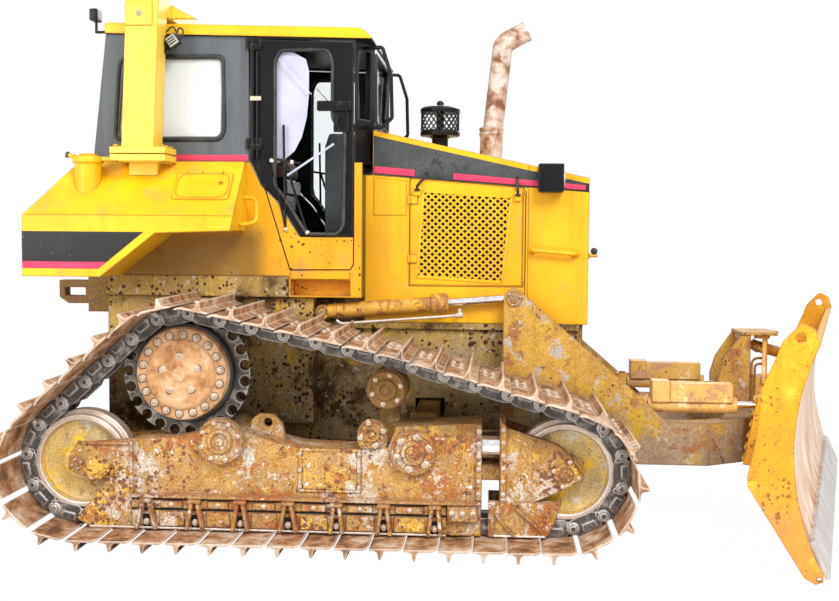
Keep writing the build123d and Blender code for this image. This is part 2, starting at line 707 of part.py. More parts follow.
rail_x = 1460
rail_out_x, rail_out_y = (cab_half - cab_nose_half) / corner_span, (cab_nose - cab_side_front) / corner_span
rail_y = cab_half - (rail_x - cab_side_front) * rail_out_x / rail_out_y
with BuildPart() as front_handrails:
    near, far = 2 * seat, 110
    foot_x, foot_y = rail_x + near * rail_out_x, -rail_y - near * rail_out_y
    knee_x, knee_y = rail_x + far * rail_out_x, -rail_y - far * rail_out_y
    with BuildLine() as rail:
        FilletPolyline((foot_x, foot_y, 2700), (knee_x, knee_y, 2700), (1612, knee_y, 2545),
                       (1619, knee_y, 2303), (knee_x, knee_y, 2252), (foot_x, foot_y, 2252), radius=22)
    with BuildSketch(Plane(origin=rail.line @ 0, z_dir=rail.line % 0)):
        Circle(11)
    sweep()
    mirror(about=Plane.XZ)

light_rear = 363
with BuildPart() as work_lights:
    rod((cab_rear_high - seat, -500, 2800), (-112, -500, 2800), 8)
    rod((-112, -500, 2795), (-112, -500, 2880), 8)
    block((-140, -90), (-545, -455), (2860, 2930))
    block((light_rear, light_rear + 96), (-760, -710), (2655, 2755))
    mirror(about=Plane.XZ)

# ---------------------------------------------------------------- push frame
def round_between(start, end, low, high, radius, mode=Mode.ADD):
    """A round bar on the line from start to end, between two distances along it."""
    along = (Vector(*end) - Vector(*start)).normalized()
    rod(Vector(*start) + along * low, Vector(*start) + along * high, radius, mode)


with BuildPart() as push_frame:
    with BuildSketch(Plane.XY.offset(arm_bottom)):
        with BuildLine():
            Polyline((trunnion_x, -arm_outer), (arm_bend, -arm_outer), (3640, -470), (arm_front, -250),
                     (arm_front, 250), (3640, 470), (arm_bend, arm_outer), (trunnion_x, arm_outer),
                     (trunnion_x, arm_inner), (3360, arm_inner), (3520, 400), (arm_front - nose_wall, 210),
                     (arm_front - nose_wall, -210), (3520, -400), (3360, -arm_inner),
                     (trunnion_x, -arm_inner), (trunnion_x, -arm_outer))
        make_face()
    extrude(amount=arm_top - arm_bottom)
    for inner in (arm_inner, -arm_outer):
        outer = inner + arm_outer - arm_inner
        discs(trunnion_x, trunnion_z, [(120, inner, outer)])
        discs(trunnion_x, trunnion_z, [(trunnion_pin + seat, inner, outer)], mode=Mode.SUBTRACT)
    for inner in (arm_outer - lift_plate, -arm_outer):
        plate([(2264, lift_eye[1]), (2264, arm_top), (3190, arm_top), (3033, 748), (2372, 1318)],
              inner, inner + lift_plate)
        discs(*lift_eye, [(58, inner, inner + lift_plate)])
    for side in (-1, 1):
        plate([(3560, arm_top), (arm_front, arm_top), (arm_front, tower_top), (3690, tower_top), (3590, 905),
               (3560, 800)], side * tower_half - tower_plate / 2, side * tower_half + tower_plate / 2)
        block((3000, 3120), (side * angle_y - 50, side * angle_y + 50), (arm_top, arm_top + 28))
        rod((angle_rear_x, side * angle_y, arm_top + 20), (angle_rear_x, side * angle_y, angle_z + 60),
            angle_pin)
    block((3690, swivel_x + 50), (-150, 150), (tower_top, tower_top + 17))
    block((3700, arm_front), (-tower_half, tower_half), (tower_top - 40, tower_top))
    for low, thick, pin in ((arm_bottom, 60, swivel_pin), (tower_top, 17, swivel_head)):
        with BuildSketch(Plane.XY.offset(low)):
            with Locations((swivel_x, 0)):
                Circle(swivel_ear)
            with Locations(((arm_front + swivel_x) / 2, 0)):
                Rectangle(swivel_x - arm_front, 190)
        extrude(amount=thick)
        with BuildSketch(Plane.XY.offset(low)):
            with Locations((swivel_x, 0)):
                Circle(pin + seat)
        extrude(amount=thick, mode=Mode.SUBTRACT)

# ---------------------------------------------------------------- lift cylinders
lift_start = (lift_rear[0], -lift_y, lift_rear[1])
lift_end = (lift_eye[0], -lift_y, lift_eye[1])
with BuildPart() as lift_barrel_right:
    round_between(lift_start, lift_end, 30, lift_length, lift_barrel)
    round_between(lift_start, lift_end, lift_length - 90, lift_length, lift_barrel + 3)
    discs(*lift_rear, [(lift_barrel, lift_y - 30, lift_y + 30)])
    discs(*lift_rear, [(lift_pin + seat, lift_y - 30, lift_y + 30)], mode=Mode.SUBTRACT)
    round_between(lift_start, lift_end, 60, lift_length, lift_bar + rod_fit, mode=Mode.SUBTRACT)
lift_barrel_left = mirrored(lift_barrel_right)

lift_span = hypot(lift_eye[0] - lift_rear[0], lift_eye[1] - lift_rear[1])
with BuildPart() as lift_rod_right:
    round_between(lift_start, lift_end, 440, lift_span, lift_bar)
    discs(*lift_eye, [(lift_eye_radius, lift_y - lift_eye_half, lift_y + lift_eye_half)])
    discs(*lift_eye, [(lift_pin, lift_y - lift_eye_half, lift_y + lift_eye_half)], mode=Mode.SUBTRACT)
lift_rod_left = mirrored(lift_rod_right)

# ---------------------------------------------------------------- swivel
# The blade's frame: x away from its face, y to the left, about the swivel's axis.
blade_top_view = Plane(origin=(swivel_x, 0, 0), z_dir=(0, 0, 1),
                       x_dir=(cos(radians(blade_turn)), -sin(radians(blade_turn)), 0))
blade_side_view = Plane(origin=(swivel_x, 0, 0), x_dir=blade_top_view.x_dir, z_dir=-blade_top_view.y_dir)


def place(point):
    """A point of the blade's frame, in the machine's."""
    return blade_top_view.from_local_coords(Vector(*point))


def blade_plate(points, inner, outer, corner=0, mode=Mode.ADD):
    """A side outline in the blade's frame, solid between two distances to its right."""
    with BuildSketch(blade_side_view.offset(inner)) as outline:
        Polygon(*points)
        if corner:
            fillet(outline.vertices(), corner)
    extrude(outline.sketch, amount=outer - inner, mode=mode)


def blade_block(u, v, z):
    """A box in the blade's frame."""
    blade_plate([(u[0], z[0]), (u[1], z[0]), (u[1], z[1]), (u[0], z[1])], -v[1], -v[0])


tilt_line = Vector(*tilt_eye) - Vector(*tilt_base)
eye_arm = Vector(0, tilt_eye[1], tilt_eye[2] - tilt_z)
eye_moves = Vector(1, 0, 0).cross(eye_arm)
tilt_axis = tilt_line.cross(eye_moves).normalized()        # the barrel turns about this
tilt_pin_start = Vector(*tilt_base) - tilt_axis * 30
tilt_pin_end = Vector(*tilt_base) + tilt_axis * 66
post_face = 4                          # of the post that holds the tilt cylinder's pin
with BuildPart() as blade_swivel:
    low = arm_bottom + 60 + rod_fit
    with BuildSketch(blade_top_view.offset(low)):
        Circle(swivel_hub)
        with Locations((20, 0)):
            Rectangle(110, 2 * swivel_hub)
    extrude(amount=hub_top - low)
    rod((swivel_x, 0, arm_bottom + 10), (swivel_x, 0, low), swivel_pin)
    rod((swivel_x, 0, tower_top - 10), (swivel_x, 0, tower_top + 17), swivel_head)
    blade_block((post_face, post_face + 26), (-100, -32), (hub_top - 40, tower_top - 3))
    blade_block((-45, post_face + 36), (-100, 45), (tower_top - 23, tower_top - 3))
    blade_block((60, bar_rear), (-swivel_hub, swivel_hub), (bar_low, bar_high))
    blade_block((bar_rear, bar_front), (-angle_eye_v - 60, angle_eye_v + 60), (bar_low, bar_high))
    for v in (-angle_eye_v, angle_eye_v):
        for z in (angle_z - angle_eye_half - 30, angle_z + angle_eye_half + 10):
            blade_block((angle_eye_u - 40, bar_rear), (v - 38, v + 38), (z, z + 20))
    blade_block((70, bar_rear), (-90, 90), (low, tilt_z + 90))
    rod(place((bar_rear, 0, tilt_z)), place((box_rear + 15, 0, tilt_z)), tilt_joint)
    rod(place(tilt_pin_start), place(tilt_pin_end), tilt_pin)

hose = 8
with BuildPart() as tilt_hoses:
    for u, v, drop, knee in ((-58, -52, 146, 40), (-38, -64, 180, 26)):
        top = tower_top - drop
        with BuildLine() as hose_line:
            FilletPolyline(place((u, v, hub_top + seat)), place((u, v, top)),
                           place((post_face - seat, v, top)), radius=knee)
        with BuildSketch(Plane(origin=hose_line.line @ 0, z_dir=hose_line.line % 0)):
            Circle(hose)
        sweep()

# ---------------------------------------------------------------- angle cylinders
def angle_pins(side):
    """The pins of one angle cylinder, at the middle of their eyes."""
    return (Vector(angle_rear_x, side * angle_y, angle_z),
            place((angle_eye_u, side * angle_eye_v, angle_z)))


def upright(pin, low, high, radius, mode=Mode.ADD):
    """An upright round at a pin, between two heights from it."""
    rod(pin + Vector(0, 0, low), pin + Vector(0, 0, high), radius, mode)


def angle_barrel_part(side):
    start, end = angle_pins(side)
    low = arm_top + 28 + seat - angle_z
    with BuildPart() as barrel:
        round_between(start, end, 30, angle_length, angle_barrel)
        upright(start, low, 50, 42)
        guard = Plane(origin=start, z_dir=(0, 0, 1), x_dir=end - start)
        for rear, front, half, top in ((50, 150, 62, 138), (150, angle_length - 30, 56, 125)):
            with BuildSketch(guard.offset(20)) as cover:
                with Locations(((rear + front) / 2, 0)):
                    Rectangle(front - rear, 2 * half)
            extrude(cover.sketch, amount=top - 20)
        upright(start, low - 10, 60, angle_pin + seat, mode=Mode.SUBTRACT)
        round_between(start, end, 60, angle_length, angle_bar + rod_fit, mode=Mode.SUBTRACT)
    return barrel


def angle_rod_part(side):
    start, end = angle_pins(side)
    span = (end - start).length
    with BuildPart() as bar:
        round_between(start, end, span - angle_length, span, angle_bar)
        upright(end, -angle_eye_half, angle_eye_half, angle_eye_radius)
        upright(end, -angle_eye_half, angle_eye_half, 18, mode=Mode.SUBTRACT)
    return bar


angle_barrel_right, angle_barrel_left = angle_barrel_part(-1), angle_barrel_part(1)
angle_rod_right, angle_rod_left = angle_rod_part(-1), angle_rod_part(1)

# ---------------------------------------------------------------- tilt cylinder
with BuildPart() as tilt_barrel_part:
    round_between(place(tilt_base), place(tilt_eye), 26, tilt_length, tilt_barrel)
    eye_start = Vector(*tilt_base) - tilt_axis * 27
    eye_end = Vector(*tilt_base) + tilt_axis * 27
    rod(place(eye_start), place(eye_end), 32)
    rod(place(tilt_pin_start), place(tilt_pin_end), tilt_pin + seat, mode=Mode.SUBTRACT)
    round_between(place(tilt_base), place(tilt_eye), 50, tilt_length, tilt_bar + rod_fit, mode=Mode.SUBTRACT)

with BuildPart() as tilt_rod_part:
    round_between(place(tilt_base), place(tilt_eye), 180, tilt_line.length, tilt_bar)
    with Locations(place(tilt_eye)):
        Sphere(tilt_eye_radius)

# ---------------------------------------------------------------- blade
half_blade = blade_width / 2
face_top, face_mid, face_low = (364, blade_low + 1136), (262, blade_low + 640), (400, blade_low + 60)
end_back = [(342, blade_low + 1208), (288, blade_low + 1236), (264, blade_low + 1225),
            (194, blade_low + 1146), (172, blade_low + 1082), (104, blade_low + 913),
            (86, blade_low + 665), (52, blade_low + 490), (53, blade_low + 442),
            (325, blade_low + 23), (375, blade_low), (409, blade_low + 16), (408, blade_low + 55)]


def back_at(z):
    """How far forward the back of the curved face is at this height."""
    (u1, z1), (u2, z2), (u3, z3) = face_top, face_mid, face_low
    p, q = (u2 ** 2 - u1 ** 2 + z2 ** 2 - z1 ** 2) / 2, (u3 ** 2 - u2 ** 2 + z3 ** 2 - z2 ** 2) / 2
    det = (u2 - u1) * (z3 - z2) - (u3 - u2) * (z2 - z1)
    centre_u = (p * (z3 - z2) - q * (z2 - z1)) / det
    centre_z = ((u2 - u1) * q - (u3 - u2) * p) / det
    radius = hypot(u1 - centre_u, z1 - centre_z)
    return centre_u - sqrt(radius ** 2 - (z - centre_z) ** 2) - mould_plate


with BuildPart() as blade:
    with BuildSketch(blade_side_view.offset(-half_blade)):
        with BuildLine():
            face = ThreePointArc(face_top, face_mid, face_low)
            back = ThreePointArc(*[(u - mould_plate, z) for u, z in (face_top, face_mid, face_low)])
            Line(face @ 0, back @ 0)
            Line(face @ 1, back @ 1)
        make_face()
    extrude(amount=blade_width)
    for inner in (-half_blade - end_plate, half_blade):
        with BuildSketch(blade_side_view.offset(inner)):
            with BuildLine():
                ThreePointArc(face_low, face_mid, face_top)
                Polyline(face_top, *end_back, face_low)
            make_face()
            with Locations((277, blade_low + 1168)):
                RectangleRounded(44, 44, 12, rotation=20, mode=Mode.SUBTRACT)
            with Locations((390, blade_low + 24)):
                Circle(12, mode=Mode.SUBTRACT)
        extrude(amount=end_plate)
    box_front = face_mid[0] - mould_plate / 2
    blade_plate([(box_rear, box_low), (box_front + 20, box_low), (box_front, box_high),
                 (box_rear, box_high)], -half_blade, half_blade)
    for side in (-1, 1):
        blade_plate([(box_rear, box_high - 15), (62, 783), (19, 396), (box_rear, box_low + 5)],
                    side * 720 - 20, side * 720 + 20)
        blade_plate([(35, 775), (62, 783), (19, 396), (-34, 400)], side * 720 - 65, side * 720 + 65)
    boss_rear = bar_rear + 5
    blade_block((boss_rear, box_rear), (-110, 110), (tilt_z - 100, tilt_z + 110))
    rod(place((boss_rear - 1, 0, tilt_z)), place((box_rear + 25, 0, tilt_z)), tilt_joint + seat,
        mode=Mode.SUBTRACT)
    for z in (tilt_eye[2] - tilt_eye_radius - 25, tilt_eye[2] + tilt_eye_radius + 10):
        blade_block((tilt_eye[0] - 30, back_at(z) + mould_plate / 2), (tilt_eye[1] - 35, tilt_eye[1] + 35),
                    (z, z + 15))

face_arc = ThreePointArc(face_top, face_mid, face_low)
edge_top_u, edge_top, _ = face_arc @ 0.87
run_u, run_z = face_low[0] - edge_top_u, face_low[1] - edge_top
run = hypot(run_u, run_z)
out_u, out_z = -run_z / run, run_u / run
with BuildPart() as cutting_edge:
    foot = (face_low[0] + run_u * 0.33, face_low[1] + run_z * 0.33)
    back_line = [(u + seat * out_u, z + seat * out_z) for u, z in ((edge_top_u, edge_top), foot)]
    front_line = [(u + edge_plate * out_u, z + edge_plate * out_z) for u, z in reversed(back_line)]
    blade_plate(back_line + front_line, -half_blade + seat, half_blade - seat)

# ---------------------------------------------------------------- files
pieces = {
    "track_right": track_right, "track_left": track_left, "idlers": idlers, "sprockets": sprockets,
    "final_drives": final_drives, "track_rollers": track_rollers,
    "carrier_rollers": carrier_rollers, "track_frame_right": track_frame_right,
    "track_frame_left": track_frame_left, "idler_yokes": idler_yokes,
    "equalizer_bar": equalizer_bar, "main_frame": main_frame, "tow_hitch": tow_hitch,
    "engine_block": engine_block, "fender_right": fender_right, "fender_left": fender_left,
    "fender_lid_right": fender_lid_right, "fender_lid_left": fender_lid_left, "cab_base": cab_base,
    "cab_body": cab_body, "cab_roof": cab_roof, "side_windows": side_windows,
    "rear_window": rear_window, "windshield": windshield, "driver_seat": driver_seat,
    "console": console, "control_levers": control_levers, "cab_door_right": cab_door_right,
    "cab_door_left": cab_door_left, "door_glass_right": door_glass_right,
    "door_glass_left": door_glass_left, "rollover_frame": rollover_frame, "hood": hood,
    "hood_sides": hood_sides, "radiator_guard": radiator_guard, "front_grille": front_grille,
    "engine_door_right": engine_door_right, "engine_door_left": engine_door_left,
    "exhaust_stack": exhaust_stack, "precleaner": precleaner, "headlights": headlights,
    "grab_bars": grab_bars, "front_handrails": front_handrails, "work_lights": work_lights,
    "push_frame": push_frame, "blade_swivel": blade_swivel, "tilt_hoses": tilt_hoses,
    "blade": blade, "cutting_edge": cutting_edge, "lift_barrel_right": lift_barrel_right,
    "lift_barrel_left": lift_barrel_left, "lift_rod_right": lift_rod_right,
    "lift_rod_left": lift_rod_left, "angle_barrel_right": angle_barrel_right,
    "angle_barrel_left": angle_barrel_left, "angle_rod_right": angle_rod_right,
    "angle_rod_left": angle_rod_left, "tilt_barrel": tilt_barrel_part, "tilt_rod": tilt_rod_part,
}
for name, piece in pieces.items():
    piece.part.label = name
    export_step(piece.part, f"parts/{name}.step")
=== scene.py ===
import json
import math
import bpy
import bmesh
from mathutils import Matrix, Vector

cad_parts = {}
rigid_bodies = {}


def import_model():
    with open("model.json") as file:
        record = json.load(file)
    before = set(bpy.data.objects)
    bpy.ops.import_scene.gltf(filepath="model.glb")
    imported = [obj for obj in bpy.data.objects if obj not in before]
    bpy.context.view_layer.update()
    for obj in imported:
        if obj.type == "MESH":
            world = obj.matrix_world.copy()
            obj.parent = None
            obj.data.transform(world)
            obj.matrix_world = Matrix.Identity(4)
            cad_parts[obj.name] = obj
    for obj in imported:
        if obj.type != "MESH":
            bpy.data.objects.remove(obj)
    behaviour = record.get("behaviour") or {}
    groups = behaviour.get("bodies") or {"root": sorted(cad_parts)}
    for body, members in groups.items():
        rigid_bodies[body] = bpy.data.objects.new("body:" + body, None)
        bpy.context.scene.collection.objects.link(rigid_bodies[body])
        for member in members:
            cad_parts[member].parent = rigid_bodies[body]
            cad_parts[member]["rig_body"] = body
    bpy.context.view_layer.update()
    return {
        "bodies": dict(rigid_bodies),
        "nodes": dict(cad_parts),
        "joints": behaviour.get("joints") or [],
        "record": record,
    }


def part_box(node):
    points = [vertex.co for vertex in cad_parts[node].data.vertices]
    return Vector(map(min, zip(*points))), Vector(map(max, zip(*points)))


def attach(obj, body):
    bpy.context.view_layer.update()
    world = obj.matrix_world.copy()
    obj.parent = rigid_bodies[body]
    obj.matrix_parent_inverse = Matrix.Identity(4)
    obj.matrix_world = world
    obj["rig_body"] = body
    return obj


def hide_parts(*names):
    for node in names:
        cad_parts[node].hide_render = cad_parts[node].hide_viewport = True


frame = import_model()
nodes = frame["nodes"]
print("frame loaded", len(nodes), "nodes")

# the view, from the machine's right, a little ahead of its middle
view = {
    "place": (2.222, -6.758, 1.652),
    "yaw": 4.033,
    "pitch": -3.539,
    "roll": 0.480,
    "lens": 46.745,
    "sensor": 36,
}


def aimCamera():
    yaw, pitch, roll = (math.radians(view[k]) for k in ("yaw", "pitch", "roll"))
    forward = Vector((-math.sin(yaw) * math.cos(pitch), math.cos(yaw) * math.cos(pitch), math.sin(pitch)))
    right = Vector((math.cos(yaw), math.sin(yaw), 0))
    up = right.cross(forward)
    side = right * math.cos(roll) + up * math.sin(roll)
    top = up * math.cos(roll) - right * math.sin(roll)
    cameraData = bpy.data.cameras.new("camera")
    cameraData.lens = view["lens"]
    cameraData.sensor_width = view["sensor"]
    camera = bpy.data.objects.new("camera", cameraData)
    bpy.context.scene.collection.objects.link(camera)
    camera.matrix_world = Matrix((
        (side.x, top.x, -forward.x, view["place"][0]),
        (side.y, top.y, -forward.y, view["place"][1]),
        (side.z, top.z, -forward.z, view["place"][2]),
        (0, 0, 0, 1)))
    bpy.context.scene.camera = camera


# a node of a tree, its settings, and its inputs from values or from other nodes
def wire(tree, kind, links=None, **values):
    node = tree.nodes.new(kind)
    for name, value in values.items():
        setattr(node, name, value)
    for socket, source in (links or {}).items():
        target = node.inputs[socket]
        if hasattr(source, "is_output"):
            tree.links.new(source, target)
        else:
            target.default_value = source
    return node


def ramp(tree, source, stops, smooth=False):
    node = wire(tree, "ShaderNodeValToRGB", {0: source})
    band = node.color_ramp
    band.interpolation = "EASE" if smooth else "LINEAR"
    while len(band.elements) < len(stops):
        band.elements.new(0.5)
    for element, (place, colour) in zip(band.elements, stops):
        element.position = place
        element.color = colour if len(colour) == 4 else (*colour, 1)
    return node.outputs[0]


def grey(value):
    return (value, value, value, 1)


def between(tree, source, low, high, smooth=True):
    node = wire(tree, "ShaderNodeMapRange", {0: source, 1: low, 2: high, 3: 0.0, 4: 1.0}, clamp=True)
    node.interpolation_type = "SMOOTHSTEP" if smooth else "LINEAR"
    return node.outputs[0]


def maths(tree, operation, first, second=0.5, clamp=False):
    node = wire(tree, "ShaderNodeMath", {0: first, 1: second}, operation=operation, use_clamp=clamp)
    return node.outputs[0]


def inverse(tree, mask):
    return maths(tree, "SUBTRACT", 1.0, mask)


def times(tree, first, second):
    return maths(tree, "MULTIPLY", first, second)


def blendColours(tree, factor, first, second, how="MIX"):
    node = wire(tree, "ShaderNodeMix", {"Factor": factor}, data_type="RGBA", blend_type=how)
    for index, source in ((6, first), (7, second)):
        if hasattr(source, "is_output"):
            tree.links.new(source, node.inputs[index])
        else:
            node.inputs[index].default_value = (*source[:3], 1)
    return node.outputs[2]


def noise(tree, where, scale, detail=4.0, rough=0.55, twist=0.0):
    links = {"Vector": where, "Scale": scale, "Detail": detail, "Roughness": rough, "Distortion": twist}
    return wire(tree, "ShaderNodeTexNoise", links).outputs["Fac"]


def stretched(tree, where, scale):
    return wire(tree, "ShaderNodeMapping", {"Vector": where, "Scale": scale}).outputs[0]


def startGroup(name, amounts, masks, vectors=()):
    # a shared effect: it takes a place and some amounts, and gives masks and vectors
    tree = bpy.data.node_groups.new(name, "ShaderNodeTree")
    tree.interface.new_socket(name="Place", in_out="INPUT", socket_type="NodeSocketVector")
    for label, value in amounts.items():
        socket = tree.interface.new_socket(name=label, in_out="INPUT", socket_type="NodeSocketFloat")
        socket.default_value = value
    for label in masks:
        tree.interface.new_socket(name=label, in_out="OUTPUT", socket_type="NodeSocketFloat")
    for label in vectors:
        tree.interface.new_socket(name=label, in_out="OUTPUT", socket_type="NodeSocketVector")
    return tree, tree.nodes.new("NodeGroupInput").outputs, tree.nodes.new("NodeGroupOutput").inputs


def makeSpotsGroup():
    # scattered rust spots and chips, denser in some areas than others
    tree, given, result = startGroup("rustSpots", {"Scale": 24.0, "Amount": 0.3}, ["Mask"])
    fine = noise(tree, given["Place"], given["Scale"], 9.0, 0.68, 0.4)
    areas = noise(tree, given["Place"], 1.7, 2.0, 0.5)
    level = times(tree, areas, 0.35)
    lift = maths(tree, "ADD", fine, level)
    limit = maths(tree, "SUBTRACT", 0.98, times(tree, given["Amount"], 0.35))
    top = maths(tree, "ADD", limit, 0.05)
    spread = wire(tree, "ShaderNodeMapRange", {0: lift, 1: limit, 2: top}, clamp=True)
    tree.links.new(spread.outputs[0], result["Mask"])
    return tree


def makeWearGroup():
    # edges rubbed bare: the rounded normal leaves the true one near an edge
    tree, given, result = startGroup("edgeWear", {"Width": 0.012, "Amount": 0.5}, ["Mask"], ["Normal"])
    rounded = wire(tree, "ShaderNodeBevel", {"Radius": given["Width"]}, samples=4).outputs[0]
    normal = wire(tree, "ShaderNodeNewGeometry").outputs["Normal"]
    alike = wire(tree, "ShaderNodeVectorMath", {0: rounded, 1: normal}, operation="DOT_PRODUCT")
    turned = inverse(tree, alike.outputs["Value"])
    rough = noise(tree, given["Place"], 22.0, 6.0, 0.7)
    broken = times(tree, turned, maths(tree, "ADD", rough, 0.15))
    strength = times(tree, broken, times(tree, given["Amount"], 20.0))
    tree.links.new(maths(tree, "MINIMUM", strength, 1.0, True), result["Mask"])
    tree.links.new(rounded, result["Normal"])
    return tree


def makeDirtGroup():
    # dried mud, thicker low down and on faces that look up
    amounts = {"Low": 0.3, "High": 1.6, "Amount": 0.6, "Scale": 5.0}
    tree, given, result = startGroup("driedMud", amounts, ["Mask", "Grain"])
    height = wire(tree, "ShaderNodeSeparateXYZ", {0: given["Place"]}).outputs[2]
    fall = wire(tree, "ShaderNodeMapRange", {0: height, 1: given["Low"], 2: given["High"], 3: 1.0, 4: 0.0},
                clamp=True)
    normal = wire(tree, "ShaderNodeNewGeometry").outputs["Normal"]
    facing = wire(tree, "ShaderNodeSeparateXYZ", {0: normal}).outputs[2]
    upward = between(tree, facing, 0.3, 1.0)
    level = maths(tree, "ADD", times(tree, fall.outputs[0], 0.6), times(tree, upward, 0.35))
    patches = noise(tree, given["Place"], given["Scale"], 10.0, 0.65, 0.2)
    lift = maths(tree, "ADD", times(tree, level, given["Amount"]), maths(tree, "SUBTRACT", patches, 0.5))
    tree.links.new(between(tree, lift, 0.12, 0.5), result["Mask"])
    tree.links.new(noise(tree, given["Place"], 60.0, 8.0, 0.75), result["Grain"])
    return tree


def makeRunsGroup():
    # stains that ran down the panel
    tree, given, result = startGroup("runStains", {"Scale": 14.0, "Amount": 0.4}, ["Mask"])
    drawn = stretched(tree, given["Place"], (1.0, 1.0, 0.08))
    lines = noise(tree, drawn, given["Scale"], 7.0, 0.62, 0.15)
    where = noise(tree, given["Place"], 2.1, 3.0, 0.5)
    both = times(tree, lines, maths(tree, "ADD", where, 0.45))
    tree.links.new(times(tree, between(tree, both, 0.42, 0.72), given["Amount"]), result["Mask"])
    return tree


def makeSpecksGroup():
    # small splashed drops, gathered in some areas
    tree, given, result = startGroup("splashedDrops", {"Scale": 46.0, "Amount": 0.5}, ["Mask"])
    links = {"Vector": given["Place"], "Scale": 70.0, "Detail": 3.0}
    sway = wire(tree, "ShaderNodeTexNoise", links).outputs["Color"]
    links = {0: sway, 1: (0.016, 0.016, 0.016), 2: given["Place"]}
    pushed = wire(tree, "ShaderNodeVectorMath", links, operation="MULTIPLY_ADD").outputs[0]
    cells = wire(tree, "ShaderNodeTexVoronoi", {"Vector": pushed, "Scale": given["Scale"]}).outputs
    areas = between(tree, noise(tree, given["Place"], 3.2, 4.0, 0.6), 0.36, 0.66)
    chance = wire(tree, "ShaderNodeSeparateColor", {0: cells["Color"]}).outputs[0]
    small = maths(tree, "POWER", chance, 2.2)
    radius = times(tree, times(tree, areas, given["Amount"]), small)
    inside = maths(tree, "SUBTRACT", times(tree, radius, 0.70), cells["Distance"])
    tree.links.new(between(tree, inside, 0.0, 0.09), result["Mask"])
    return tree


groups = {
    "specks": makeSpecksGroup(),
    "spots": makeSpotsGroup(),
    "wear": makeWearGroup(),
    "mud": makeDirtGroup(),
    "runs": makeRunsGroup(),
}


def useGroup(tree, name, links):
    return wire(tree, "ShaderNodeGroup", links, node_tree=groups[name]).outputs


def startMaterial(name):
    material = bpy.data.materials.new(name)
    material.use_nodes = True
    tree = material.node_tree
    shader = tree.nodes["Principled BSDF"]
    where = wire(tree, "ShaderNodeTexCoord").outputs["Object"]
    return material, tree, shader, where


def dress(tree, shader, colour, rough, relief=None, **values):
    # what the shader is given: relief is a bump's strength, distance, height and normal
    tree.links.new(colour, shader.inputs["Base Color"])
    tree.links.new(rough, shader.inputs["Roughness"])
    if relief:
        links = dict(zip(("Strength", "Distance", "Height", "Normal"), relief))
        tree.links.new(wire(tree, "ShaderNodeBump", links).outputs[0], shader.inputs["Normal"])
    for socket, value in values.items():
        shader.inputs[shaderSockets[socket]].default_value = value


shaderSockets = {"metal": "Metallic", "shine": "Specular IOR Level", "through": "Transmission Weight",
                 "bend": "IOR"}


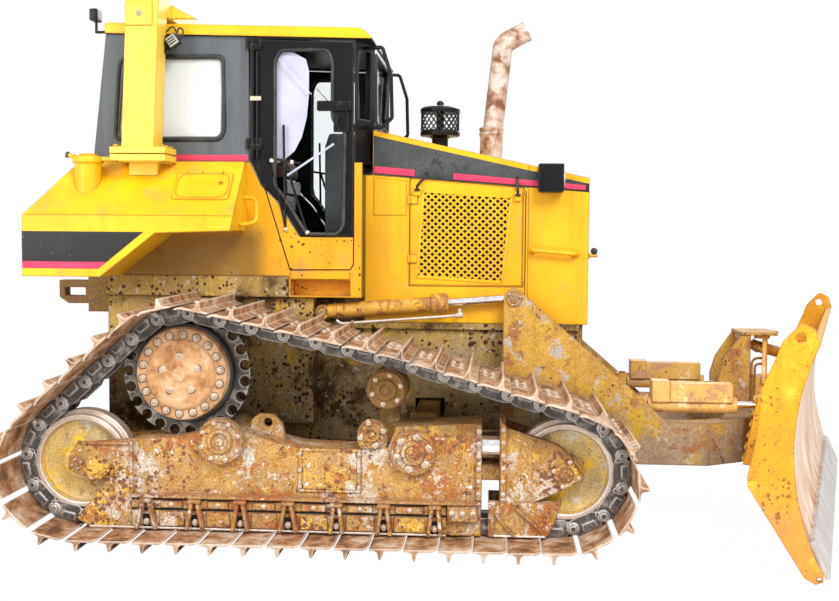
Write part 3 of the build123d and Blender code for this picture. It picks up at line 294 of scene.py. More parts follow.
# paint: tone, shade and chips, how much rust, mud, wear and run stains it has, and between which
# heights the mud thins out; the rest is for paints with more than that
plainPaint = {
    "chip": (0.16, 0.07, 0.03), "rust": 0.1, "mud": 0.3, "low": 0.9, "high": 2.6, "wear": 0.3, "runs": 0.3,
    "gloss": 0.4, "shine": 0.35, "specksTop": 9.0, "speckTone": (0.085, 0.04, 0.014),
    "mudTone": (0.44, 0.3, 0.16), "mudDark": (0.22, 0.135, 0.065),
}
paints = {
    "enamelYellow": {
        "tone": (0.92, 0.56, 0.01), "shade": (0.8, 0.42, 0.006), "runs": 0.25, "gloss": 0.36,
    },
    "paleYellow": {
        "tone": (0.95, 0.7, 0.09), "shade": (0.9, 0.6, 0.05), "chip": (0.3, 0.14, 0.04), "rust": 0.08,
        "mud": 0.2, "wear": 0.25, "runs": 0.2,
    },
    "hoodYellow": {
        "tone": (0.88, 0.46, 0.006), "shade": (0.8, 0.37, 0.004), "runs": 0.25, "gloss": 0.42,
    },
    "cabYellow": {
        "tone": (0.87, 0.42, 0.006), "shade": (0.78, 0.34, 0.004), "mud": 0.35, "high": 2.4, "gloss": 0.42,
        # painted shade on the lower rear of the cab base, where the fender shadows it
        "underFenderShade": (0.26, 0.13, 0.008), "specks": 0.85, "specksTop": 1.8,
    },
    "meshYellow": {
        "tone": (0.88, 0.48, 0.008), "shade": (0.8, 0.38, 0.006), "rust": 0.2, "wear": 0, "runs": 0.2,
    },
    "wornYellow": {
        "tone": (0.66, 0.38, 0.09), "shade": (0.5, 0.26, 0.09), "chip": (0.3, 0.12, 0.05), "rust": 0.5,
        "mud": 0.6, "low": 0.1, "high": 1.5, "wear": 1.0, "runs": 0.6, "gloss": 0.6,
        "mudTone": (0.6, 0.39, 0.2), "mudDark": (0.3, 0.155, 0.06), "specks": 1.5,
        "speckTone": (0.2, 0.085, 0.045), "patches": [((0.76, 0.46, 0.07), 3.1, 0.52, 0.6),
        ((0.66, 0.56, 0.45), 4.7, 0.52, 0.58), ((0.44, 0.155, 0.045), 5.7, 0.53, 0.58),
        ((0.2, 0.08, 0.045), 12.0, 0.59, 0.62), ((0.5, 0.23, 0.03), 19.0, 0.55, 0.59),
        # head: darker towards the top of the track frames, partly painted shade under the track's upper run
        # and partly grime
        ((0.86, 0.79, 0.7), 27.0, 0.6, 0.64)], "head": (0.25, 0.14, 0.025), "headLow": 0.5,
        "headHigh": 0.72, "grain": 1.0,
    },
    "idlerYellow": {
        "tone": (0.78, 0.52, 0.14), "shade": (0.62, 0.46, 0.22), "chip": (0.3, 0.14, 0.06), "rust": 0.35,
        "low": 0.1, "high": 1.2, "wear": 0.9, "runs": 0.4, "gloss": 0.5,
        "patches": [((0.84, 0.54, 0.04), 4.0, 0.52, 0.6), ((0.64, 0.59, 0.5), 5.0, 0.53, 0.59),
        ((0.4, 0.19, 0.07), 9.0, 0.61, 0.65)], "grain": 0.7,
    },
    "muddyHull": {
        "tone": (0.52, 0.33, 0.07), "shade": (0.36, 0.22, 0.05), "chip": (0.06, 0.03, 0.014), "rust": 0.35,
        "mud": 0.9, "low": 0.2, "high": 2.0, "wear": 0.4, "runs": 0.5, "gloss": 0.72,
        "mudTone": (0.46, 0.36, 0.24), "mudDark": (0.26, 0.18, 0.09), "specks": 1.6,
        "patches": [((0.1, 0.055, 0.018), 2.7, 0.49, 0.6), ((0.6, 0.36, 0.03), 3.6, 0.56, 0.66),
        ((0.52, 0.47, 0.39), 24.0, 0.57, 0.62), ((0.22, 0.055, 0.02), 15.0, 0.6, 0.63)],
        "speckTone": (0.07, 0.022, 0.012), "grain": 0.6,
    },
    "guardYellow": {
        "tone": (0.86, 0.53, 0.16), "shade": (0.76, 0.42, 0.08), "chip": (0.46, 0.22, 0.11), "rust": 0.5,
        "mud": 0.25, "low": 0.5, "high": 1.2, "wear": 0.6, "runs": 0.4, "gloss": 0.5,
        "patches": [((0.62, 0.34, 0.17), 3.4, 0.56, 0.59), ((0.92, 0.76, 0.42), 8.0, 0.58, 0.64),
        ((0.4, 0.16, 0.05), 17.0, 0.63, 0.66)], "specks": 0.5, "speckTone": (0.3, 0.13, 0.05), "grain": 0.4,
    },
    "armPaint": {
        "tone": (0.62, 0.35, 0.05), "shade": (0.5, 0.27, 0.06), "chip": (0.26, 0.11, 0.05), "rust": 0.45,
        "mud": 0.5, "low": 0.3, "high": 1.2, "wear": 0.9, "runs": 0.6, "gloss": 0.55,
        "mudTone": (0.5, 0.36, 0.24), "mudDark": (0.26, 0.17, 0.11), "specks": 0.7,
        "foot": (0.4, 0.29, 0.19), "footLow": 0.4, "footHigh": 0.85,
        "patches": [((0.6, 0.36, 0.035), 4.0, 0.54, 0.62), ((0.36, 0.155, 0.05), 5.6, 0.53, 0.6),
        ((0.5, 0.44, 0.37), 8.0, 0.57, 0.62), ((0.13, 0.075, 0.045), 17.0, 0.62, 0.65)], "grain": 0.7,
    },
    "liftYellow": {
        "tone": (0.8, 0.44, 0.04), "shade": (0.62, 0.32, 0.08), "chip": (0.34, 0.14, 0.05), "rust": 0.6,
        "low": 0.5, "high": 1.2, "wear": 0.7, "runs": 0.4, "gloss": 0.42,
        "patches": [((0.42, 0.19, 0.05), 6.0, 0.53, 0.59), ((0.24, 0.09, 0.035), 17.0, 0.58, 0.62)],
        "grain": 0.55,
    },
    "bladeYellow": {
        "tone": (0.8, 0.39, 0.008), "shade": (0.74, 0.32, 0.012), "chip": (0.4, 0.17, 0.03), "rust": 0.4,
        "mud": 0.25, "low": 0.0, "high": 1.2, "gloss": 0.5, "foot": (0.8, 0.32, 0.05), "footLow": 0.2,
        "footHigh": 0.6, "specks": 1.1, "specksTop": 1.2, "patches": [((0.88, 0.56, 0.04), 3.0, 0.56, 0.68),
        ((0.52, 0.2, 0.03), 24.0, 0.6, 0.63)], "speckTone": (0.34, 0.12, 0.02), "grain": 0.3,
    },
    "cabBlack": {
        "tone": (0.01, 0.01, 0.011), "shade": (0.006, 0.006, 0.007), "chip": (0.1, 0.09, 0.08),
        "rust": 0.02, "mud": 0.06, "low": 1.2, "high": 3.2, "wear": 0.2, "gloss": 0.24, "shine": 0.14,
    },
    "cabPanel": {
        "tone": (0.01, 0.01, 0.011), "shade": (0.006, 0.006, 0.007), "chip": (0.1, 0.09, 0.08),
        "rust": 0.02, "mud": 0.12, "low": 1.2, "high": 3.2, "wear": 0.2, "gloss": 0.34,
        "rear": (0.11, 0.122, 0.136), "rearUntil": 0.812, "shine": 0.16,
    },
    "bandBlack": {
        "tone": (0.078, 0.084, 0.082), "shade": (0.034, 0.036, 0.035), "chip": (0.1, 0.09, 0.08),
        "rust": 0.02, "mud": 0.12, "low": 1.2, "high": 3.2, "wear": 0.2, "gloss": 0.34,
        "patches": [((0.012, 0.012, 0.011), 5.0, 0.55, 0.68), ((0.2, 0.2, 0.19), 30.0, 0.64, 0.68)],
        "foot": (0.013, 0.013, 0.012), "footLow": 1.85, "footHigh": 2.0, "grain": 0.5,
    },
    # black for seams, and for painted shade: the sheet behind the engine doors' mesh, thin strips on the
    # track frames and the fender lids' key slots
    "seamAndShadeBlack": {
        "tone": (0.01, 0.008, 0.005), "shade": (0.004, 0.003, 0.002), "chip": (0.02, 0.015, 0.01),
        "mud": 0.1, "low": 0.0, "high": 2.0, "wear": 0, "runs": 0, "gloss": 0.8,
    },
    "consoleGrey": {
        "tone": (0.105, 0.115, 0.118), "shade": (0.065, 0.072, 0.075), "chip": (0.02, 0.02, 0.02),
        "rust": 0.0, "mud": 0.1, "low": 1.2, "high": 3.0, "wear": 0, "runs": 0.2, "gloss": 0.55,
    },
    # a pale lavender painted reflection, worn by a sheet on the right door's glass
    "glassReflection": {
        "tone": (0.5, 0.5, 0.62), "shade": (0.36, 0.36, 0.46), "chip": (0.2, 0.18, 0.16), "rust": 0.0,
        "mud": 0.05, "low": 1.2, "high": 3.0, "wear": 0, "runs": 0.1, "gloss": 0.3,
    },
    "stripeRed": {
        "tone": (0.78, 0.035, 0.11), "shade": (0.66, 0.05, 0.12), "chip": (0.3, 0.2, 0.1), "mud": 0.2,
        "wear": 0.1,
    },
    "engineGrey": {
        "tone": (0.12, 0.105, 0.06), "shade": (0.06, 0.05, 0.035), "chip": (0.05, 0.04, 0.03), "rust": 0.4,
        "mud": 0.8, "low": 0.2, "high": 2.2, "wear": 0.4, "runs": 0.4, "gloss": 0.7,
    },
}


def makePaint(name):
    look = {**plainPaint, **paints[name]}
    material, tree, shader, where = startMaterial(name)
    patches = noise(tree, where, 2.3, 5.0, 0.6)
    colour = blendColours(tree, between(tree, patches, 0.35, 0.68), look["tone"], look["shade"])
    axes = wire(tree, "ShaderNodeSeparateXYZ", {0: where}).outputs
    if "rear" in look:
        ahead = between(tree, axes[0], look["rearUntil"], look["rearUntil"] + 0.004)
        colour = blendColours(tree, ahead, look["rear"], colour)
    if "foot" in look:
        wavy = maths(tree, "ADD", axes[2], times(tree, patches, 0.5))
        above = between(tree, wavy, look["footLow"] + 0.25, look["footHigh"] + 0.25)
        colour = blendColours(tree, above, look["foot"], colour)
    # painted shade: the cab base darkens behind x 0.82 to 0.98 and below z 1.60 to 1.76, where the fender
    # shadows it
    if "underFenderShade" in look:
        behind = inverse(tree, between(tree, axes[0], 0.82, 0.98))
        below = inverse(tree, between(tree, axes[2], 1.60, 1.76))
        colour = blendColours(tree, times(tree, behind, below), colour, look["underFenderShade"])
    runs = useGroup(tree, "runs", {"Place": where, "Amount": look["runs"]})["Mask"]
    colour = blendColours(tree, runs, colour, tuple(c * 0.45 for c in look["shade"]))
    mud = {"Place": where, "Low": look["low"], "High": look["high"], "Amount": look["mud"]}
    dirt = useGroup(tree, "mud", mud)
    mudColour = blendColours(tree, dirt["Grain"], look["mudDark"], look["mudTone"])
    colour = blendColours(tree, times(tree, dirt["Mask"], 0.8), colour, mudColour)
    for tone, scale, low, high in look.get("patches", ()):
        patch = between(tree, noise(tree, where, scale, 10.0, 0.70, 0.3), low, high)
        colour = blendColours(tree, patch, colour, tone)
    # partly painted shade and partly grime: darker towards the top, between the two heights
    if "head" in look:
        wavy = times(tree, maths(tree, "SUBTRACT", patches, 0.5), 0.5)
        high = between(tree, maths(tree, "ADD", axes[2], wavy), look["headLow"], look["headHigh"])
        colour = blendColours(tree, high, colour, look["head"])
    if "grain" in look:
        grit = between(tree, noise(tree, where, 85.0, 6.0, 0.8), 0.36, 0.66, False)
        grit = maths(tree, "ADD", times(tree, grit, look["grain"]), 1.0 - look["grain"] * 0.62)
        shades = wire(tree, "ShaderNodeCombineColor", {0: grit, 1: grit, 2: grit}).outputs[0]
        colour = blendColours(tree, 1.0, colour, shades, "MULTIPLY")
    spots = useGroup(tree, "spots", {"Place": where, "Amount": look["rust"]})["Mask"]
    rustColour = blendColours(tree, noise(tree, where, 40.0), look["chip"], (0.30, 0.12, 0.045))
    colour = blendColours(tree, spots, colour, rustColour)
    if "specks" in look:
        drops = useGroup(tree, "specks", {"Place": where, "Amount": look["specks"]})["Mask"]
        fade = inverse(tree, between(tree, axes[2], look["specksTop"] - 0.25, look["specksTop"]))
        colour = blendColours(tree, times(tree, drops, fade), colour, look["speckTone"])
    normal = wire(tree, "ShaderNodeNewGeometry").outputs["Normal"]
    if look["wear"]:
        worn = useGroup(tree, "wear", {"Place": where, "Amount": look["wear"]})
        colour = blendColours(tree, worn["Mask"], colour, look["chip"])
        normal = worn["Normal"]
    rough = maths(tree, "ADD", times(tree, dirt["Mask"], 0.5), look["gloss"])
    rough = maths(tree, "ADD", rough, times(tree, spots, 0.3), True)
    relief = maths(tree, "ADD", times(tree, dirt["Grain"], maths(tree, "ADD", dirt["Mask"], 0.12)),
                   times(tree, spots, -0.5))
    dress(tree, shader, colour, rough, (0.35, 0.004, relief, normal), shine=look["shine"])
    return material


# bare and rusted metals: dark, mid and pale tones
metals = {
    "shoeRust": {"dark": (0.13, 0.060, 0.030), "mid": (0.46, 0.23, 0.105), "pale": (0.74, 0.63, 0.50),
                 "stops": (0.36, 0.49, 0.66), "scale": 9.0, "wear": 2.2, "rough": 0.6, "metal": 0.2},
    "chainSteel": {"dark": (0.030, 0.028, 0.028), "mid": (0.12, 0.105, 0.095), "pale": (0.66, 0.60, 0.56),
                   "scale": 16.0, "wear": 1.6, "rough": 0.5, "metal": 0.4},
    "darkSteel": {"dark": (0.03, 0.028, 0.026), "mid": (0.12, 0.10, 0.085), "pale": (0.62, 0.55, 0.48),
                  "scale": 14.0, "wear": 1.4, "rough": 0.5, "metal": 0.4},
    "rimSteel": {"dark": (0.42, 0.30, 0.20), "mid": (0.66, 0.52, 0.40), "pale": (0.90, 0.85, 0.80),
                 "scale": 7.0, "wear": 0.9, "rough": 0.40, "metal": 0.5},
    "stackRust": {"dark": (0.20, 0.080, 0.035), "mid": (0.50, 0.33, 0.23), "pale": (0.72, 0.65, 0.58),
                  "stops": (0.38, 0.47, 0.57), "scale": 10.0, "wear": 0.5, "rough": 0.75, "metal": 0.1},
    "hubRust": {"dark": (0.27, 0.105, 0.035), "mid": (0.60, 0.31, 0.125), "pale": (0.82, 0.58, 0.36),
                "stops": (0.36, 0.50, 0.66), "scale": 8.0, "wear": 0.8, "rough": 0.6, "metal": 0.1},
    # a dark rusty brown for the rings under the final drives' bolt heads: painted shade of the gaps around
    # them
    "boltRingShade": {"dark": (0.05, 0.022, 0.010), "mid": (0.11, 0.05, 0.022), "pale": (0.20, 0.11, 0.06),
                "scale": 12.0, "wear": 0.3, "rough": 0.7, "metal": 0.1},
    "lampGlass": {"dark": (0.22, 0.22, 0.20), "mid": (0.40, 0.38, 0.34), "pale": (0.62, 0.58, 0.52),
                  "scale": 30.0, "wear": 0.6, "rough": 0.35, "metal": 0.2},
    "boltSteel": {"dark": (0.20, 0.10, 0.05), "mid": (0.50, 0.32, 0.18), "pale": (0.85, 0.74, 0.60),
                  "scale": 30.0, "wear": 1.0, "rough": 0.5, "metal": 0.3},
}


def makeMetal(name):
    look = metals[name]
    material, tree, shader, where = startMaterial(name)
    coarse = noise(tree, where, look["scale"], 8.0, 0.66, 0.3)
    fine = noise(tree, where, look["scale"] * 7, 6.0, 0.7)
    low, mid, high = look.get("stops", (0.30, 0.52, 0.78))
    body = ramp(tree, coarse, [(low, look["dark"]), (mid, look["mid"]), (high, look["pale"])])
    colour = blendColours(tree, times(tree, fine, 0.35), body, look["dark"])
    worn = useGroup(tree, "wear", {"Place": where, "Amount": look["wear"], "Width": 0.010})
    colour = blendColours(tree, worn["Mask"], colour, look["pale"])
    rough = maths(tree, "ADD", fine, look["rough"] - 0.4)
    rough = maths(tree, "SUBTRACT", rough, times(tree, worn["Mask"], 0.2), True)
    relief = (0.5, 0.004, maths(tree, "ADD", coarse, fine), worn["Normal"])
    dress(tree, shader, colour, rough, relief, metal=look["metal"])
    return material


def makeChrome():
    material, tree, shader, where = startMaterial("chromeRod")
    film = noise(tree, where, 30.0, 5.0, 0.6)
    colour = ramp(tree, film, [(0.35, (0.95, 0.95, 0.97)), (0.75, (0.60, 0.58, 0.56))])
    dress(tree, shader, colour, times(tree, film, 0.22), metal=1.0)
    return material


def makeGlass(name, through):
    material, tree, shader, where = startMaterial(name)
    dust = between(tree, noise(tree, where, 3.0, 8.0, 0.7), 0.45, 0.85)
    colour = ramp(tree, dust, [(0.0, (0.93, 0.96, 0.97)), (1.0, (0.80, 0.80, 0.74))])
    dress(tree, shader, colour, times(tree, dust, 0.12), through=through, bend=1.03)
    return material


def makeRubber():
    material, tree, shader, where = startMaterial("sealRubber")
    dust = noise(tree, where, 12.0, 7.0, 0.65)
    colour = ramp(tree, dust, [(0.4, (0.008, 0.008, 0.009)), (0.85, (0.075, 0.07, 0.06))])
    rough = maths(tree, "ADD", times(tree, dust, 0.4), 0.35)
    dress(tree, shader, colour, rough, (0.2, 0.001, dust))
    return material


# steel that soil has scoured: its tones along the streaks, and the tone of the fine lines
scoured = {
    "scouredSteel": {"tones": [(0.30, (0.36, 0.30, 0.26)), (0.45, (0.52, 0.47, 0.44)),
                               (0.56, (0.62, 0.60, 0.60)), (0.72, (0.80, 0.79, 0.80))],
                     "line": (0.44, 0.41, 0.41)},
    "polishedFace": {"tones": [(0.38, (0.40, 0.15, 0.05)), (0.46, (0.78, 0.44, 0.19)),
                               (0.54, (0.92, 0.80, 0.66)), (0.66, (0.95, 0.93, 0.92))],
                     "line": (0.58, 0.29, 0.12)},
}


def makeScoured(name):
    # soil has drawn pale and rusty streaks down it
    material, tree, shader, where = startMaterial(name)
    drawn = stretched(tree, where, (1.0, 1.0, 0.10))
    broad = noise(tree, drawn, 15.0, 7.0, 0.62, 0.5)
    fine = noise(tree, drawn, 42.0, 6.0, 0.65, 0.1)
    colour = ramp(tree, broad, scoured[name]["tones"])
    colour = blendColours(tree, times(tree, fine, 0.6), colour, scoured[name]["line"])
    rough = maths(tree, "ADD", times(tree, fine, 0.4), 0.22)
    dress(tree, shader, colour, rough, (0.25, 0.003, fine), metal=0.35)
    return material


def makeCloth():
    material, tree, shader, where = startMaterial("seatCloth")
    weave = wire(tree, "ShaderNodeTexWave", {"Vector": where, "Scale": 160.0, "Distortion": 1.5})
    stain = noise(tree, where, 6.0, 6.0, 0.6)
    colour = blendColours(tree, stain, (0.060, 0.026, 0.014), (0.150, 0.075, 0.042))
    rough = maths(tree, "ADD", times(tree, stain, 0.2), 0.75)
    dress(tree, shader, colour, rough, (0.3, 0.001, weave.outputs["Fac"]))
    return material


finishes = {name: makePaint(name) for name in paints}
finishes |= {name: makeMetal(name) for name in metals}
finishes |= {name: makeScoured(name) for name in scoured}
finishes |= {name: makeGlass(name, through) for name, through in (("cabGlass", 1.0), ("skyGlass", 0.4))}
finishes |= {"chromeRod": makeChrome(), "sealRubber": makeRubber(), "seatCloth": makeCloth()}
print("finishes made", len(finishes))

# which finish each node of the frame wears
nodeFinish = {
    "enamelYellow": ["fender_right", "fender_left", "fender_lid_right", "fender_lid_left", "cab_roof"],
    "hoodYellow": ["hood", "hood_sides", "radiator_guard", "engine_door_right", "engine_door_left",
                   "grab_bars"],
    "cabYellow": ["cab_base"],
    "paleYellow": ["rollover_frame"],
    "consoleGrey": ["console"],
    "wornYellow": ["carrier_rollers", "track_frame_right", "track_frame_left", "idler_yokes", "equalizer_bar",
                   "tow_hitch", "idlers", "final_drives"],
    "muddyHull": ["main_frame"],
    "liftYellow": ["lift_barrel_right", "lift_barrel_left", "tilt_hoses"],
    "engineGrey": ["engine_block"],
    "guardYellow": ["angle_barrel_right", "angle_barrel_left", "blade_swivel"],
    "armPaint": ["push_frame", "tilt_barrel"],
    "bladeYellow": ["blade"],
    "cabPanel": ["cab_body"],
    "cabBlack": ["cab_door_right", "cab_door_left", "front_grille", "headlights", "front_handrails",
                 "work_lights", "precleaner"],
    "sealRubber": ["control_levers"],
    "seatCloth": ["driver_seat"],
    "skyGlass": ["side_windows"],
    "cabGlass": ["rear_window", "windshield", "door_glass_right", "door_glass_left"],
    "shoeRust": ["track_right", "track_left"],
    "darkSteel": ["sprockets", "track_rollers"],
    "stackRust": ["exhaust_stack"],
    "scouredSteel": ["cutting_edge"],
    "chromeRod": ["lift_rod_right", "lift_rod_left", "angle_rod_right", "angle_rod_left", "tilt_rod"],
}
for finish, names in nodeFinish.items():
    for name in names:
        nodes[name].data.materials.clear()
        nodes[name].data.materials.append(finishes[finish])


# making pieces
def evenNormals(mesh, limit=0.80):
    # broad faces stay flat and only the narrow ones beside them turn
    around = {}
    for face in mesh.polygons:
        for corner in face.vertices:
            around.setdefault(corner, []).append(face)
    normals = []
    for face in mesh.polygons:
        for corner in face.vertices:
            near = [g for g in around[corner] if g.normal.dot(face.normal) > limit]
            normals.append(sum((g.normal * g.area for g in near), Vector()).normalized())
    mesh.normals_split_custom_set(normals)


def asMesh(name, shape):
    mesh = bpy.data.meshes.new(name)
    shape.to_mesh(mesh)
    shape.free()
    return mesh


def keepMesh(name, shape, body, finishNames, replaced=(), smooth=32.0, even=False):
    bmesh.ops.recalc_face_normals(shape, faces=shape.faces)
    mesh = asMesh(name, shape)
    for finish in finishNames:
        mesh.materials.append(finishes[finish])
    piece = bpy.data.objects.new(name, mesh)
    bpy.context.scene.collection.objects.link(piece)
    if smooth:
        mesh.shade_smooth()
        mesh.set_sharp_from_angle(angle=math.radians(smooth))
    if even:
        evenNormals(mesh)
    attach(piece, body)
    if replaced:
        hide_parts(*replaced)
    return piece


def addTurned(shape, profile, centre, finish=0, steps=48, upright=False):
    # a profile of (radius, along) points turned about an axle along y, or about an upright one
    ring = [shape.verts.new((radius, y, 0)) for radius, y in profile]
    edges = [shape.edges.new(pair) for pair in zip(ring, ring[1:])]
    bmesh.ops.spin(shape, geom=ring + edges, cent=(0, 0, 0), axis=(0, 1, 0), angle=math.tau, steps=steps,
                   use_merge=True)
    faces = connectedFaces(ring)
    bmesh.ops.remove_doubles(shape, verts=list({v for face in faces for v in face.verts}), dist=0.0001)
    faces = [f for f in faces if f.is_valid]
    for face in faces:
        face.material_index = finish
    points = list({v for face in faces for v in face.verts})
    if upright:
        bmesh.ops.rotate(shape, verts=points, cent=(0, 0, 0), matrix=Matrix.Rotation(math.pi / 2, 3, "X"))
    bmesh.ops.translate(shape, verts=points, vec=centre)
    return points


def connectedFaces(seeds):
    found, waiting = set(), [seed for seed in seeds if seed.is_valid]
    seen = set(waiting)
    while waiting:
        point = waiting.pop()
        for face in point.link_faces:
            if face not in found:
                found.add(face)
                for other in face.verts:
                    if other not in seen:
                        seen.add(other)
                        waiting.append(other)
    return list(found)


def addPrism(shape, outline, low, high, placeAt=None, finish=0, bevel=0.0):
    # an outline of (x, z) points made solid along y
    face = shape.faces.new([shape.verts.new((x, low, z)) for x, z in outline])
    made = bmesh.ops.extrude_face_region(shape, geom=[face])
    far = [item for item in made["geom"] if isinstance(item, bmesh.types.BMVert)]
    bmesh.ops.translate(shape, verts=far, vec=(0, high - low, 0))
    return finishSolid(shape, list(face.verts) + far, placeAt, finish, bevel)


def finishSolid(shape, points, placeAt, finish, bevel):
    faces = list({f for v in points for f in v.link_faces})
    for face in faces:
        face.material_index = finish
    if bevel:
        edges = list({e for f in faces for e in f.edges})
        made = bmesh.ops.bevel(shape, geom=edges, offset=bevel, segments=2, affect="EDGES", profile=0.5,
                               material=-1)
        points = list({v for f in made["faces"] for v in f.verts} | {v for v in points if v.is_valid})
    if placeAt is not None:
        bmesh.ops.transform(shape, matrix=placeAt, verts=points)
    return points


def addBlock(shape, low, high, placeAt=None, finish=0, bevel=0.0):
    outline = [(low[0], low[2]), (high[0], low[2]), (high[0], high[2]), (low[0], high[2])]
    return addPrism(shape, outline, low[1], high[1], placeAt, finish, bevel)


def addRound(shape, start, end, radius, finish=0, sides=16, tip=None):
    # a round bar between two points
    start, end = Vector(start), Vector(end)
    along = end - start
    made = bmesh.ops.create_cone(shape, cap_ends=True, segments=sides, radius1=radius, depth=along.length,
                                 radius2=radius if tip is None else tip)
    turn = along.to_track_quat("Z", "Y").to_matrix().to_4x4()
    bmesh.ops.transform(shape, verts=made["verts"], matrix=Matrix.Translation((start + end) / 2) @ turn)
    for face in {f for v in made["verts"] for f in v.link_faces}:
        face.material_index = finish
    return made["verts"]


def addBolt(shape, place, normal, size=0.012, depth=0.010, finish=0):
    # a hexagon head with a chamfered top, on its washer
    place, normal = Vector(place), Vector(normal).normalized()
    washer = place + normal * depth * 0.25
    addRound(shape, place, washer, size * 1.35, finish, 12, size * 1.25)
    addRound(shape, washer, place + normal * depth, size, finish, 6, size * 0.88)


def addBoltRing(shape, centre, radius, count, side, size=0.012, depth=0.010, finish=0, start=0.0):
    for i in range(count):
        turn = start + math.tau * i / count
        place = (centre[0] + radius * math.cos(turn), centre[1], centre[2] + radius * math.sin(turn))
        addBolt(shape, place, (0, side, 0), size, depth, finish)


def copyInto(shape, master, matrix):
    before = len(shape.verts)
    shape.from_mesh(master)
    shape.verts.ensure_lookup_table()
    bmesh.ops.transform(shape, matrix=matrix, verts=shape.verts[before:])


quarters = (0, 0.25, 0.5, 0.75, 1)


def addTube(shape, points, radius, finish=0, bend=0.03, sides=12, closed=False):
    # a round tube through points, its corners rounded
    points = [Vector(p) for p in points]
    count = len(points)
    path = []
    for i, point in enumerate(points):
        if not closed and i in (0, count - 1):
            path.append(point)
            continue
        before, after = points[i - 1], points[(i + 1) % count]
        cut = min(bend, (before - point).length * 0.49, (after - point).length * 0.49)
        start = point + (before - point).normalized() * cut
        end = point + (after - point).normalized() * cut
        path += [start.lerp(point, t).lerp(point.lerp(end, t), t) for t in quarters]
    rings = []
    total = len(path)
    turn = None
    for i, point in enumerate(path):
        ahead = path[(i + 1) % total] if closed or i < total - 1 else point
        behind = path[i - 1] if closed or i else point
        along = (ahead - behind).normalized()
        turn = along.to_track_quat("Z", "Y") if turn is None else (
            turn @ Vector((0, 0, 1))).rotation_difference(along) @ turn
        place = Matrix.Translation(point) @ turn.to_matrix().to_4x4()
        rings.append(bmesh.ops.create_circle(shape, segments=sides, radius=radius, matrix=place)["verts"])
    pairs = list(zip(rings, rings[1:] + rings[:1])) if closed else list(zip(rings, rings[1:]))
    faces = []
    for first, second in pairs:
        for k in range(sides):
            other = (k + 1) % sides
            faces.append(shape.faces.new((first[k], first[other], second[other], second[k])))
    if not closed:
        faces += [shape.faces.new(rings[0]), shape.faces.new(rings[-1])]
    for face in faces:
        face.material_index = finish


def addPlate(shape, outline, side, near, far, finish=0, bevel=0.0):
    # a prism on one side of the machine, between two distances from the middle
    low, high = sorted((side * near, side * far))
    return addPrism(shape, outline, low, high, None, finish, bevel)


def addPanel(shape, side, x, y, z, finish=0, bevel=0.0, placeAt=None):
    # a block on one side of the machine, from its spans of x, of distance and of z
    low, high = sorted((side * y[0], side * y[1]))
    return addBlock(shape, (x[0], low, z[0]), (x[1], high, z[1]), placeAt, finish, bevel)


def addStrip(shape, start, end, width, side, near, far, finish=0):
    # a flat bar from one (x, z) point to another
    along = Vector((end[0] - start[0], end[1] - start[1])).normalized() * (width / 2)
    across = (-along[1], along[0])
    outline = [(start[0] + across[0], start[1] + across[1]), (end[0] + across[0], end[1] + across[1]),
               (end[0] - across[0], end[1] - across[1]), (start[0] - across[0], start[1] - across[1])]
    addPlate(shape, outline, side, near, far, finish)


def addSideBolts(shape, places, side, out, size, depth, finish=1):
    for x, z in places:
        addBolt(shape, (x, side * out, z), (0, side, 0), size, depth, finish)


def addSideTurned(shape, profile, side, centre, finish=0, steps=48):
    # a profile of (radius, distance from the middle), turned on one side of the machine
    addTurned(shape, [(radius, side * y) for radius, y in profile], centre, finish, steps)


sides = {"right": -1, "left": 1}


# the chain: its wheels come from the frame
chain = {
    "links": 42,
    "teeth": 23,
    "pinCircle": 0.320,
    "firstPin": 0.0175,
    "linkHalf": 0.048,
    "tread": 0.253,
    "rib": 0.275,
    "plate": 0.013,
    "grouser": 0.048,
    "grouserAt": 0.060,
    "rowInner": 0.050,
    "rowOuter": 0.090,
    "boltsAt": (0.042, 0.088),
    "boltsOut": 0.062,
    "boltSize": 0.013,
    "pocket": [(0.052, 0.000), (0.118, 0.000), (0.124, 0.034), (0.046, 0.034)],
    "pocketDepth": 0.007,
    "pinEnds": [(-0.004, 0.009, 0.030, 0.027, 20), (0.009, 0.013, 0.018, 0.015, 16)],
    "pinRadius": 0.026,
    "wander": 0.003,
}
chain["pitch"] = 4 * math.pi * chain["pinCircle"] / chain["teeth"]


def middle(name, side):
    low, high = sideBox(name, side)
    return (low + high) / 2


def sideBox(name, side):
    # the box of what a node has on one side of the machine
    points = [v.co for v in nodes[name].data.vertices if v.co.y * side > 0]
    low = Vector(tuple(min(p[k] for p in points) for k in range(3)))
    high = Vector(tuple(max(p[k] for p in points) for k in range(3)))
    return low, high


idlerLow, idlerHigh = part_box("idlers")
idlerHeight = (idlerLow.z + idlerHigh.z) / 2
frontIdler = idlerHigh.x - chain["rib"]
sprocketCentre = middle("sprockets", -1)
carrierCentre = middle("carrier_rollers", -1)
trackMiddle = -middle("track_right", -1).y
carrierTread = sideBox("carrier_rollers", -1)
carrierRadius = (carrierTread[1].z - carrierTread[0].z) / 2


def chainWheels():
    around = chain["tread"] + chain["linkHalf"]
    return [(0.0, idlerHeight, around), (frontIdler, idlerHeight, around),
            (carrierCentre.x, carrierCentre.z, carrierRadius + chain["linkHalf"]),
            (sprocketCentre.x, sprocketCentre.z, chain["pinCircle"])]


